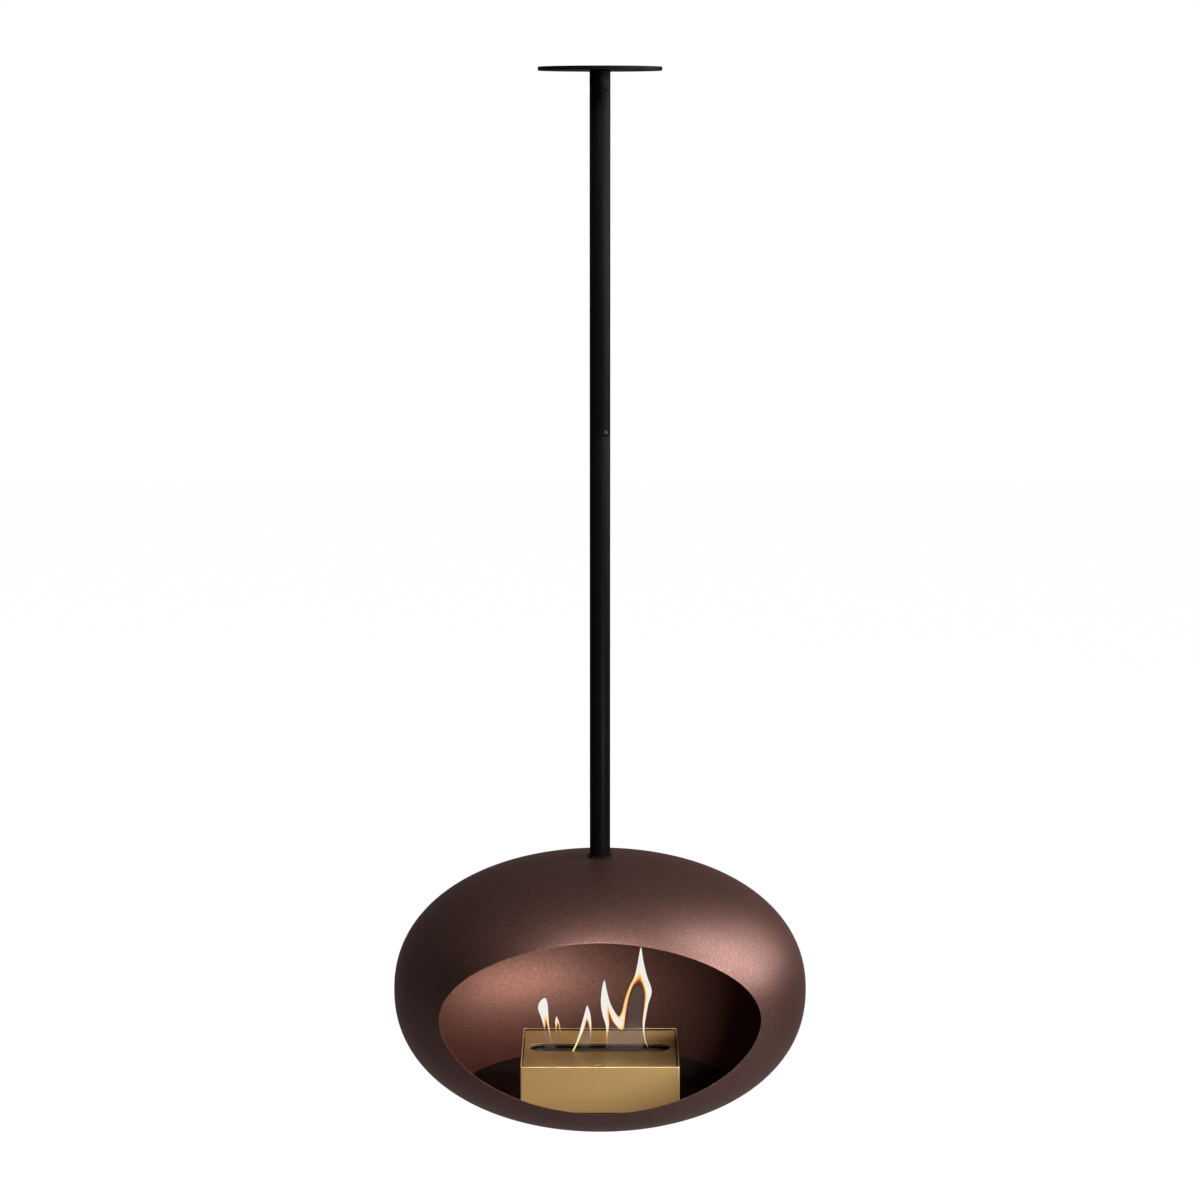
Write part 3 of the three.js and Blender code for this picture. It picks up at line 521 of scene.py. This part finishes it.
poleParts = {
    "plateDiameter": 0.190, "plateThickness": 0.006, "plateChamfer": 0.0008,
    "bossDiameter": 0.022, "bossHeight": 0.010, "holeCircle": 0.150, "hole": 0.008, "sink": 0.015,
    "diameter": 0.032, "wall": 0.0025, "housingBore": 0.0226, "housingExit": 0.0126, "housingFloor": 0.006,
    "housingScrew": 0.0046, "couplerScrew": 0.0066, "screwBearing": -54,
    "edge": 0.0004, "plateTopEdge": 0.0003, "bossRoot": 0.0002,
    "axisDisc": 0.0004,  # a flat face is closed by a disc of this radius at its middle
    "slipBore": 0.0126, "slipInset": 0.0001, "slipEdge": 0.0001, "slipSpread": 0.00022,
    "gasketBore": 0.0206, "gasketEdge": 0.0007, "sides": 144, "plateSides": 192,
}


def middleHeight(node):
    low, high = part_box(node)
    return (low.z + high.z) / 2


def crossDrill(diameter, height, bearing):
    # a drill lying flat, from the pole's axis out past its skin
    p = poleParts
    ring = lathe([(diameter / 2, 0), (diameter / 2, p["diameter"])], 40)
    turn = math.radians(bearing)
    out, side, up = ring[..., 2], ring[..., 0], ring[..., 1]
    x = out * math.cos(turn) - side * math.sin(turn)
    y = out * math.sin(turn) + side * math.cos(turn)
    return cutter(np.stack([x, y, height + up], 2))


def makeCeilingPlate():
    p = poleParts
    edge, low, boss = p["plateDiameter"] / 2, -p["plateThickness"], p["bossDiameter"] / 2
    end, axis, chamfer = low - p["bossHeight"], p["axisDisc"], p["plateChamfer"]
    soft, root, bossEdge = p["plateTopEdge"], p["bossRoot"], p["edge"]
    profile = [(axis, 0), (edge - soft, 0), (edge, -soft), (edge, low + chamfer), (edge - chamfer, low),
               (boss + root, low), (boss, low - root), (boss, end + bossEdge), (boss - bossEdge, end),
               (axis, end)]
    plate = makePiece("ceilingPlate", lathe(profile, p["plateSides"]), finish["blackPowder"], "ceiling",
                      closed=False, sharp=30)
    narrow, wide, past = p["hole"] / 2, p["sink"] / 2, 0.004
    drill = [(wide + past, low - past), (narrow, low + wide - narrow), (narrow, past)]
    turns = np.radians([45, 135, 225, 315])
    circle = p["holeCircle"] / 2
    holes = [cutter(lathe(drill, 48, (circle * math.cos(t), circle * math.sin(t)))) for t in turns]
    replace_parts(drilled(plate, holes), "ceiling_plate")


def makeHousing():
    p = poleParts
    low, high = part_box("swivel_housing")[0].z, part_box("swivel_housing")[1].z
    out, bore, leave = p["diameter"] / 2, p["housingBore"] / 2, p["housingExit"] / 2
    floorTop = low + p["housingFloor"]
    corners = [(leave, low), (out, low), (out, high), (bore, high), (bore, floorTop), (leave, floorTop)]
    rings = lathe(softened(corners, p["edge"]), p["sides"])
    housing = makePiece("swivelHousing", rings, finish["blackPowder"], "ceiling")
    drill = crossDrill(p["housingScrew"], middleHeight("housing_set_screw"), 90)
    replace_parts(drilled(housing, [drill]), "swivel_housing")


def makeTube(name, node, screws):
    p = poleParts
    low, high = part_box(node)[0].z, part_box(node)[1].z
    out, bore = p["diameter"] / 2, p["diameter"] / 2 - p["wall"]
    profile = softened([(bore, low), (out, low), (out, high), (bore, high)], p["edge"])
    tube = makePiece(name, lathe(profile, p["sides"]), finish["blackPowder"], "hanger")
    drills = [crossDrill(p["couplerScrew"], middleHeight(screw), bearing) for screw, bearing in screws]
    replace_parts(drilled(tube, drills), node)


def makeRing(name, node, inner, outer, edge, spread=0.0):
    # spread makes the ring that much thicker at either face
    low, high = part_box(node)[0].z - spread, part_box(node)[1].z + spread
    profile = softened([(inner, low), (outer, low), (outer, high), (inner, high)], edge)
    rings = lathe(profile, poleParts["sides"])
    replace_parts(makePiece(name, rings, finish["blackPolymer"], "hanger"), node)


def makeSlipWasher():
    # a little thicker than the solid, so that no light shows through the swivel's joint
    p = poleParts
    outer = p["diameter"] / 2 - p["slipInset"]
    makeRing("slipWasher", "slip_washer", p["slipBore"] / 2, outer, p["slipEdge"], p["slipSpread"])


def makeCrownGasket():
    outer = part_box("crown_gasket")[1].x
    makeRing("crownGasket", "crown_gasket", poleParts["gasketBore"] / 2, outer, poleParts["gasketEdge"])


makeCeilingPlate()
makeHousing()
makeTube("upperTube", "upper_tube", [("coupler_screw_upper", poleParts["screwBearing"])])
makeTube("lowerTube", "lower_tube", [("coupler_screw_lower", poleParts["screwBearing"] + 180)])
makeSlipWasher()
makeCrownGasket()
print("plate and pole made")


hearth = {"air": 0.0003, "edge": 0.0006, "bevel": 0.0001, "axisDisc": 0.001, "sides": 256}


def makeHearth():
    # the disc's edge follows the dome's inside, a third of a millimetre clear of it
    low, high = (corner.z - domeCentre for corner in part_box("hearth_plate"))
    inset, soft, axis = dome["wall"] + hearth["air"], hearth["edge"], hearth["axisDisc"]
    wide = domeRadius(high, inset)
    profile = [(axis, high), (wide - soft, high), (wide - hearth["bevel"], high - soft / 2),
               (domeRadius(low, inset), low), (axis, low)]
    plate = lathe(profile, hearth["sides"])
    plate[..., 2] += domeCentre
    piece = makePiece("hearthPlate", plate, finish["hearthBlack"], "hanger", closed=False)
    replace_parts(piece, "hearth_plate")


makeHearth()
print("hearth plate made")


burner = {
    "wall": 0.002, "corner": 0.0026, "rimEdge": 0.0009, "rimFrom": 0.0015, "flatFrom": 0.003,
    "flange": 0.018, "skirt": 0.0028,
    "ledgeReach": 0.008, "ledgeWidth": 0.016, "ledgeFromCorner": 0.014,
    "lidThickness": 0.003, "lidEdge": 0.0005, "slotLength": 0.222, "slotWidth": 0.046, "slotBack": 0.011,
    "fingerHole": 0.015, "fingerFromEdge": 0.015, "studDiameter": 0.004,
    "cornerSteps": 6,
    "paintedShadeFrom": 0.0092, "paintedShadeTo": 0.0060,  # painted shade in the container, down from the top plate's face
    "ledgeAir": 0.0003, "bite": 0.0002,
}
casingLow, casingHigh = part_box("burner_casing")
burnerCentre = (casingLow + casingHigh) / 2
lidLow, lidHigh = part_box("burner_top_plate")
lidTop = lidHigh.z
slotCentreY = burnerCentre.y + burner["slotBack"]


def level(outline, height):
    # a flat outline lifted to one height
    return np.column_stack([outline, np.full(len(outline), height)])


def roundedRectangle(halfX, halfY, radius, steps, support=0.001):
    # four arcs joined by straight sides, with a point just past each arc so that the flats stay flat
    t = np.linspace(0, math.pi / 2, steps + 1)
    arcs = []
    for k, (sx, sy) in enumerate([(1, 1), (-1, 1), (-1, -1), (1, -1)]):
        angle = t + k * math.pi / 2
        x, y = sx * (halfX - radius) + radius * np.cos(angle), sy * (halfY - radius) + radius * np.sin(angle)
        before, after = (np.array([-math.sin(a), math.cos(a)]) for a in (angle[0], angle[-1]))
        arc = np.stack([x, y], 1)
        arcs += [arc[:1] - support * before, arc, arc[-1:] + support * after]
    return np.concatenate(arcs)


def makeCasing():
    # the sheet's section, as (distance in from the outside, height), carried round the rectangle
    b = burner
    low, high = casingLow.z, casingHigh.z
    wall, flange = b["wall"], b["wall"] + b["flange"]
    skirt = low - b["skirt"]
    section = [(0, skirt), (0, high), (wall, high), (wall, low + wall), (flange, low + wall), (flange, low),
               (wall, low), (wall, skirt)]
    section = softened(section, b["rimEdge"])
    # one more point either side, below the rounded rim, keeps the walls' shading level
    rimPoints = np.flatnonzero(section[:, 1] > high - b["rimFrom"])
    below = high - b["flatFrom"]
    section = np.insert(section, [rimPoints[0], rimPoints[-1] + 1], [(0, below), (wall, below)], 0)
    halfX, halfY = (casingHigh.x - casingLow.x) / 2, (casingHigh.y - casingLow.y) / 2
    rings = []
    for inset, height in section:
        radius = max(b["corner"] - inset, 0.0005)
        ring = roundedRectangle(halfX - inset, halfY - inset, radius, b["cornerSteps"])
        rings.append(level(ring + (burnerCentre.x, burnerCentre.y), height))
    casing = makePiece("burnerCasing", rings, finish["satinBrass"], "burner")
    start, end = section, np.roll(section, -1, 0)
    rim = np.minimum(start[:, 1], end[:, 1]) > high - b["rimEdge"] - 1e-6
    # painted highlight along the rounded rim
    finishFaces(casing, finish["paintedHighlightBrass"], rim)
    # painted shade on the inner walls below the rim
    inner = (np.minimum(start[:, 0], end[:, 0]) > wall - 1e-6) & ~rim
    finishFaces(casing, finish["paintedShadeBrass"], inner)
    # painted highlight down the middle of each upright corner
    outer = (np.maximum(start[:, 0], end[:, 0]) < 1e-6) & ~rim
    place = np.arange(len(rings[0])) % (b["cornerSteps"] + 3)
    finishFaces(casing, finish["paintedHighlightBrass"], outer, (place >= 3) & (place <= b["cornerSteps"] - 1))
    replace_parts(casing, "burner_casing")
    makeLedges(halfX, halfY)


def makeLedges(halfX, halfY):
    # four tabs inside the casing that the top plate rests on
    b = burner
    wall, bite = b["wall"], b["bite"]
    ledgeTop = lidTop - b["lidThickness"] - b["ledgeAir"]
    shrinks = {ledgeTop - wall: 1, ledgeTop - bite: 1, ledgeTop: 0.985}
    for side, xSign in (("left", -1), ("right", 1)):
        for end, ySign in (("front", -1), ("back", 1)):
            reach, half = b["ledgeReach"] + bite, b["ledgeWidth"] / 2
            x = burnerCentre.x + xSign * (halfX - wall - reach / 2 + bite)
            y = burnerCentre.y + ySign * (halfY - wall - b["ledgeFromCorner"] - half)
            outline = roundedRectangle(reach / 2, half, 0.0012, 4)
            tab = [level(outline * shrink + (x, y), height) for height, shrink in shrinks.items()]
            makePiece(f"casingLedge.{end}.{side}", tab, finish["satinBrass"], "burner", closed=False)


def slotRing(angles, length, width):
    # where a ray at each angle meets a slot outline: its straight sides, or the round end it points at
    radius, straight = width / 2, (length - width) / 2
    c, s = np.cos(angles), np.sin(angles)
    toSide = radius / np.maximum(np.abs(s), 1e-9)
    reach = straight * np.abs(c) + np.sqrt(np.maximum(radius ** 2 - (straight * s) ** 2, 0))
    distance = np.where(toSide * np.abs(c) <= straight, toSide, reach)
    return np.column_stack([distance * c, distance * s])


def rectangleRing(angles, low, high):
    # where a ray at each angle leaves a rectangle
    c, s = np.cos(angles), np.sin(angles)
    toX = np.where(c > 0, high[0], -low[0]) / np.maximum(np.abs(c), 1e-9)
    toY = np.where(s > 0, high[1], -low[1]) / np.maximum(np.abs(s), 1e-9)
    distance = np.minimum(toX, toY)
    return np.column_stack([distance * c, distance * s])


def slotAngles(length, width, low, high):
    # even steps round the slot's outline, and the rectangle's four corners
    radius, straight = width / 2, (length - width) / 2
    end = np.linspace(-math.pi / 2, math.pi / 2, 33)
    right = np.column_stack([straight + radius * np.cos(end), radius * np.sin(end)])
    side = np.column_stack([np.linspace(straight, -straight, 14)[1:-1], np.full(12, radius)])
    outline = np.concatenate([right, side, -right, -side])
    corners = np.array([(low[0], low[1]), (high[0], low[1]), (high[0], high[1]), (low[0], high[1])])
    every = np.concatenate([outline, corners])
    return np.unique(np.round(np.arctan2(every[:, 1], every[:, 0]) % 6.28318, 5))


def makeLid():
    b = burner
    low = np.array([lidLow.x, lidLow.y - slotCentreY])
    high = np.array([lidHigh.x, lidHigh.y - slotCentreY])
    angles = slotAngles(b["slotLength"], b["slotWidth"], low, high)
    top, bottom, soft = lidTop, lidTop - b["lidThickness"], b["lidEdge"]

    def slotAt(grow, height):
        ring = slotRing(angles, b["slotLength"] + 2 * grow, b["slotWidth"] + 2 * grow)
        return level(ring + (0, slotCentreY), height)

    def edgeAt(shrink, height):
        return level(rectangleRing(angles, low + shrink, high - shrink) + (0, slotCentreY), height)

    arc = np.linspace(0, math.pi / 2, 4)
    rings = [slotAt(0, bottom), slotAt(0, bottom + 0.0006)]
    rings += [slotAt(soft * (1 - math.cos(t)), top - soft * (1 - math.sin(t))) for t in arc]
    rings += [slotAt(0.0015, top), edgeAt(0.0015, top)]
    rings += [edgeAt(soft * (1 - math.sin(t)), top - soft * (1 - math.cos(t))) for t in arc]
    rings += [edgeAt(0, bottom)]
    lid = makePiece("burnerTopPlate", rings, finish["satinBrass"], "insert")
    row = np.arange(len(rings))
    # painted shade on the slot's wall, above a thin strip at its foot that keeps the plain brass
    finishFaces(lid, finish["paintedShadeBrass"], row == 1)
    # painted highlight along the slot's rounded top edge
    finishFaces(lid, finish["paintedHighlightBrass"], (row > 1) & (row < 1 + len(arc)))
    radius, bevel, past = b["fingerHole"] / 2, 0.0004, 0.002
    profile = [(radius, bottom - past), (radius, top - bevel), (radius + bevel + past, top + past)]
    hole = cutter(lathe(profile, 64, (burnerCentre.x, lidLow.y + b["fingerFromEdge"])))
    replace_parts(drilled(lid, [hole]), "burner_top_plate")
    for node in [n for n in nodes if n.startswith("container_nut_")]:
        lowNut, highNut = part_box(node)
        centre = (lowNut + highNut) / 2
        radius = b["studDiameter"] / 2
        profile = [(radius - 0.0003, lidLow.z), (radius, lidLow.z + 0.0003), (radius, bottom)]
        rings = lathe(profile, 32, (centre.x, centre.y))
        makePiece("weldStud." + node[14:], rings, finish["plainSteel"], "insert", closed=False)


wick = {"edge": 0.0006, "sag": 0.0008, "lump": 0.0004}


def makeWick():
    # felted fibre: a slot-shaped slab whose top is a little uneven
    low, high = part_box("wick_pad")
    angles = np.linspace(0, 2 * math.pi, 160, endpoint=False)
    length, width = high.x - low.x, high.y - low.y
    y = (low.y + high.y) / 2
    rings = []
    soft, sag = wick["edge"], wick["sag"]
    for shrink, height in ((soft, low.z), (0, low.z + soft), (0, high.z - 0.002), (soft, high.z - soft)):
        ring = slotRing(angles, length - 2 * shrink, width - 2 * shrink)
        rings.append(level(ring + (0, y), height))
    for share in np.linspace(0.96, 0.05, 12):
        ring = slotRing(angles, length, width) * share
        across, along = ring[:, 1], ring[:, 0]
        waves = np.sin(along * 210) * np.sin(across * 330 + 1) + np.sin(along * 97 + across * 410)
        lump = wick["lump"] * waves
        rings.append(np.column_stack([along, across + y, high.z - sag + np.clip(lump, -sag, soft)]))
    pad = makePiece("wickPad", rings, finish["ceramicWool"], "insert", closed=False)
    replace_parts(pad, "wick_pad")


# painted shade: the container's wall goes black just under the top plate
addPaintedShade(finish["smokedSteel"], lidTop - burner["paintedShadeFrom"], lidTop - burner["paintedShadeTo"])
makeCasing()
makeLid()
makeWick()
print("burner made")


# the finish of each solid that keeps its own shape, by the start of its name
solidFinishes = {
    "thrust_washer": "sinteredBronze", "crown_plate": "blackPowder", "tube_coupler": "blackPowder",
    "coupler_screw_": "darkSteel", "fuel_container": "smokedSteel", "burner_foot_": "blackPolymer",
}
for name, node in nodes.items():
    if node.hide_render:
        continue
    chosen = next((solidFinishes[start] for start in solidFinishes if name.startswith(start)), "plainSteel")
    node.data.materials.clear()
    node.data.materials.append(finish[chosen])
print("CAD pieces finished")


# Each row is a rib across a flame, in millimetres across and above the top plate: outer edge x, z,
# inner edge x, z, then how hot its core is, how far it cools at the outer and inner edge, and how
# solid it is.
flames = {
    "left": {"plane": -0.025, "ribs": [
        (-88.1, 7.5, -87.1, 7.5, .55, 0, 0, 0), (-89.2, 23.4, -87.9, 23.4, .5, 0, .3, .12),
        (-88.4, 30.6, -85.6, 31.3, .4, .3, .9, .8), (-92.1, 46.5, -84.8, 33.8, .9, 0, 1, 1),
        (-97.4, 62.4, -84.5, 35.3, 1, 0, 1, 1), (-94.9, 73.3, -84.3, 36.1, 1, 0, 1, 1),
        (-86.9, 79.8, -84.1, 36.4, 1, 0, 1, 1), (-83.0, 71.8, -83.8, 36.1, 1, 0, 1, 1),
        (-81.6, 55.2, -83.4, 35.3, 1, 0, 1, 1), (-80.3, 35.0, -82.5, 32.8, .8, .2, .9, 1),
        (-78.6, 23.4, -80.0, 23.4, .7, 0, .2, .3), (-75.7, 7.5, -76.5, 7.5, .6, 0, 0, 0)]},
    "second": {"plane": -0.025, "ribs": [
        (-69.0, 13.3, -68.5, 13.3, .60, 0, 0, 0), (-70.0, 30.6, -68.2, 30.6, .62, .3, .3, .5),
        (-70.5, 40.7, -67.0, 36.7, .8, .2, .5, .9), (-69.8, 46.5, -66.7, 38.1, .85, .2, .6, .95),
        (-68.5, 50.0, -66.5, 38.7, .85, .2, .6, .95), (-66.4, 45.1, -66.0, 38.4, .85, .2, .6, .95),
        (-64.3, 39.3, -65.3, 36.7, .75, .2, .6, .9), (-62.2, 27.7, -63.7, 27.7, .65, .2, .3, .4),
        (-60.3, 13.3, -61.1, 13.3, .6, 0, 0, 0)]},
    "third": {"plane": -0.042, "ribs": [
        (-44.0, -2.0, -41.2, -2.0, .72, .2, .2, .75), (-39.5, 8.0, -35.9, 8.7, .74, .2, .3, .9),
        (-33.8, 23.2, -29.6, 23.2, .82, .1, .3, 1), (-28.9, 42.0, -24.2, 36.2, .95, 0, .6, 1),
        (-25.1, 55.8, -22.2, 42.0, 1, 0, 1, 1), (-22.2, 66.6, -21.1, 44.9, 1, 0, 1, 1),
        (-20.0, 71.9, -20.4, 45.9, 1, 0, 1, 1), (-17.4, 65.9, -19.7, 44.9, 1, 0, 1, 1),
        (-15.1, 57.2, -18.6, 42.0, 1, 0, 1, 1), (-13.7, 42.8, -16.9, 35.5, .9, 0, .9, 1),
        (-13.9, 28.3, -15.4, 26.8, .6, .3, .5, .6), (-14.4, 15.3, -15.1, 15.3, .5, 0, 0, 0)]},
    "right": {"plane": -0.025, "ribs": [
        (8.5, 4.6, 10.1, 4.6, .5, 0, 0, 0), (9.9, 20.5, 13.4, 20.5, .6, .2, .8, .5),
        (9.2, 35.0, 14.8, 36.4, .95, 0, .7, 1), (4.5, 50.9, 14.9, 45.1, 1, 0, .8, 1),
        (1.4, 69.6, 15.2, 48.3, 1, 0, .9, 1), (2.8, 92.7, 15.5, 49.7, 1, 0, 1, 1),
        (7.0, 108.3, 15.8, 50.6, 1, 0, 1, 1), (10.5, 92.7, 16.2, 49.7, 1, 0, 1, 1),
        (14.8, 75.4, 17.2, 47.3, 1, .1, .9, 1), (20.4, 62.4, 21.1, 40.7, 1, .3, .5, 1),
        (27.4, 51.4, 29.6, 30.6, .95, .8, .4, 1), (31.2, 50.9, 34.4, 28.3, .9, .8, .4, .95),
        (35.2, 59.5, 37.6, 31.3, .8, .5, .4, .95), (39.4, 78.3, 40.4, 49.4, .62, .3, .5, 1),
        (46.4, 98.5, 43.9, 72.5, .62, .3, .7, 1), (54.8, 115.8, 48.8, 92.0, .75, .2, .9, 1),
        (59.3, 136.0, 54.4, 100.4, 1, 0, 1, 1), (61.4, 148.9, 58.6, 103.1, 1, 0, 1, 1),
        (64.6, 161.5, 61.4, 104.0, 1, 0, 1, 1), (68.1, 140.3, 64.2, 102.8, 1, 0, 1, 1),
        (73.8, 115.8, 67.8, 96.3, 1, 0, 1, 1), (81.3, 91.3, 70.0, 82.6, 1, 0, .9, 1),
        (76.0, 69.6, 69.1, 63.9, 1, 0, .8, 1), (71.8, 46.5, 67.0, 43.6, 1, 0, .7, 1),
        (70.0, 29.2, 67.7, 27.7, .9, 0, .4, .95), (72.1, 10.4, 70.9, 9.9, .8, 0, .1, .6),
        (76.8, -1.2, 75.8, -1.5, .7, 0, 0, 0)]},
}
# Hot gas under the arches: height, left x, right x, how solid.
vapour = {
    "arch": {"plane": -0.024, "rows": [
        (101.4, 61.1, 61.2, .3), (92.7, 52.7, 68.6, .55), (72.5, 45.7, 68.6, .55), (50.9, 41.9, 67.0, .55),
        (31.3, 38.3, 67.3, .5), (16.1, 22.5, 68.7, .42), (3.1, 14.1, 70.2, .2), (-5.6, 12.7, 70.5, 0)]},
    "notch": {"plane": -0.0255, "rows": [
        (48.0, 15.8, 15.9, .3), (39.3, 15.5, 22.5, .5), (27.7, 14.8, 31.0, .5), (21.9, 13.4, 27.6, .46),
        (16.1, 12.0, 23.4, .42), (3.1, 9.2, 15.0, .2), (-5.6, 8.5, 13.6, 0)]},
    "third": {"plane": -0.041, "rows": [
        (42.8, -20.6, -20.5, .2), (34.1, -23.7, -16.3, .4), (25.4, -27.5, -15.1, .4),
        (13.8, -31.0, -14.7, .3), (2.2, -33.8, -14.7, 0)]},
    "left": {"plane": -0.024, "rows": [
        (32.8, -84.5, -84.4, .1), (26.3, -87.6, -80.0, .25), (16.1, -88.7, -78.2, .18),
        (1.7, -88.1, -69.8, .15), (-4.1, -87.4, -67.7, 0)]},
}


def smoothRows(rows, count):
    # Catmull-Rom: each point is a cubic of the four rows around it, so the curve runs through every row
    rows = np.asarray(rows, float)
    padded = np.concatenate([2 * rows[:1] - rows[1:2], rows, 2 * rows[-1:] - rows[-2:-1]])
    at = np.linspace(0, len(rows) - 1 - 1e-9, count)
    k = at.astype(int)
    t = (at - k)[:, None]
    p0, p1, p2, p3 = (padded[k + i] for i in range(4))
    square, cube = 2 * p0 - 5 * p1 + 4 * p2 - p3, 3 * p1 - p0 - 3 * p2 + p3
    return 0.5 * (2 * p1 + (p2 - p0) * t + square * t ** 2 + cube * t ** 3)


def lensRing(count):
    # across goes from 0 to 1 on the front and back to 0 on the back; side is 1 in front and -1 behind
    across = np.concatenate([np.linspace(0, 1, count), np.linspace(1, 0, count)[1:-1]])
    return across, np.concatenate([np.ones(count), -np.ones(count - 2)])


def pressDown(piece):
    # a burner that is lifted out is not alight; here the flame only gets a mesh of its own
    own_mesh(piece)


def giveAttributes(piece, glow, cover):
    for name, values in (("glow", glow), ("cover", cover)):
        made = piece.data.attributes.new(name, "FLOAT", "POINT")
        made.data.foreach_set("value", np.ascontiguousarray(values, dtype=np.float32).ravel())


def makeFlame(name, flame):
    # ribs run from the outer to the inner edge; a rib is a lens whose depth grows with its length
    rows = smoothRows(flame["ribs"], 30 * len(flame["ribs"]) // 2)
    across, side = lensRing(15)
    outer, inner = rows[:, None, 0:2], rows[:, None, 2:4]
    flat = outer + (inner - outer) * across[None, :, None]
    length = np.linalg.norm(rows[:, 2:4] - rows[:, 0:2], axis=1)
    depth = np.minimum(0.28 * length, 4.5)[:, None] * np.sqrt(across * (1 - across)) * side
    points = np.stack([flat[..., 0] / 1000, flame["plane"] + depth / 1000, lidTop + flat[..., 1] / 1000], 2)
    core, coolOut, coolIn, solid = (rows[:, None, k] for k in (4, 5, 6, 7))
    nearInner, nearOuter = np.clip((across - 0.5) / 0.5, 0, 1), np.clip((0.34 - across) / 0.34, 0, 1)
    heat = core - coolIn * nearInner ** 1.25 - coolOut * nearOuter * 0.5
    thin = np.clip((across - 0.86) / 0.14, 0, 1) * np.clip(coolIn, 0, 1)  # the inner edge fades out
    cover = np.clip(solid, 0, 1) * (1 - 0.75 * thin)
    piece = makePiece("flame." + name, points, finish["flameGlow"], "insert", closed=False, sharp=180)
    giveAttributes(piece, np.clip(heat, 0, 1), cover)
    pressDown(piece)


def makeVapour(name, body):
    # a thin upright sheet: rows run across, it is 1.5 mm deep either side at its middle, and its
    # sides fade out
    rows = smoothRows(body["rows"], 60)
    across, side = lensRing(13)
    x = rows[:, 1:2] + (rows[:, 2:3] - rows[:, 1:2]) * across
    depth = 3 * np.sqrt(across * (1 - across)) * side
    y = np.broadcast_to(body["plane"] + depth / 1000, x.shape)
    z = np.broadcast_to(lidTop + rows[:, 0:1] / 1000, x.shape)
    cover = np.clip(rows[:, 3:4], 0, 1) * np.clip(across * (1 - across) * 12, 0, 1)
    points = np.stack([x / 1000, y, z], 2)
    piece = makePiece("vapour." + name, points, finish["vapourGlow"], "insert", closed=False, sharp=180)
    giveAttributes(piece, np.clip(1 - rows[:, 0:1] / 45, 0, 1) * np.ones_like(across), cover)
    pressDown(piece)


def glowing(name, stops, share):
    # light given off by heat, seen through where the flame is thin
    material, tree = newMaterial(name)
    shader = tree.nodes["Principled BSDF"]
    glow = addNode(tree, "ShaderNodeAttribute", attribute_name="glow")
    cover = addNode(tree, "ShaderNodeAttribute", attribute_name="cover")
    ramp = addNode(tree, "ShaderNodeValToRGB", {"Fac": glow.outputs["Fac"]})
    elements = ramp.color_ramp.elements
    for k, (place, color) in enumerate(stops):
        stop = elements[k] if k < 2 else elements.new(place)
        stop.position, stop.color = place, (*color, 1)
    tree.links.new(ramp.outputs["Color"], shader.inputs["Emission Color"])
    tree.links.new(calculate(tree, "MULTIPLY", cover.outputs["Fac"], share), shader.inputs["Alpha"])
    shader.inputs["Base Color"].default_value = (0, 0, 0, 1)
    shader.inputs["Specular IOR Level"].default_value = 0
    shader.inputs["Roughness"].default_value = 1
    shader.inputs["Emission Strength"].default_value = 1
    return material


# heat and its colour: the two ends first, then the steps between them
flameColors = [
    (0.0, (0.12, 0.025, 0.01)), (1.0, (0.88, 0.86, 0.81)), (0.2, (0.45, 0.10, 0.02)),
    (0.42, (0.90, 0.40, 0.07)), (0.62, (0.95, 0.68, 0.30)), (0.8, (0.92, 0.84, 0.68)),
]
vapourColors = [(0.0, (0.105, 0.075, 0.070)), (1.0, (0.27, 0.235, 0.23))]
finish["flameGlow"] = glowing("flameGlow", flameColors, 0.93)
finish["vapourGlow"] = glowing("vapourGlow", vapourColors, 0.62)
for name, flame in flames.items():
    makeFlame(name, flame)
for name, body in vapour.items():
    makeVapour(name, body)
print("flames made")
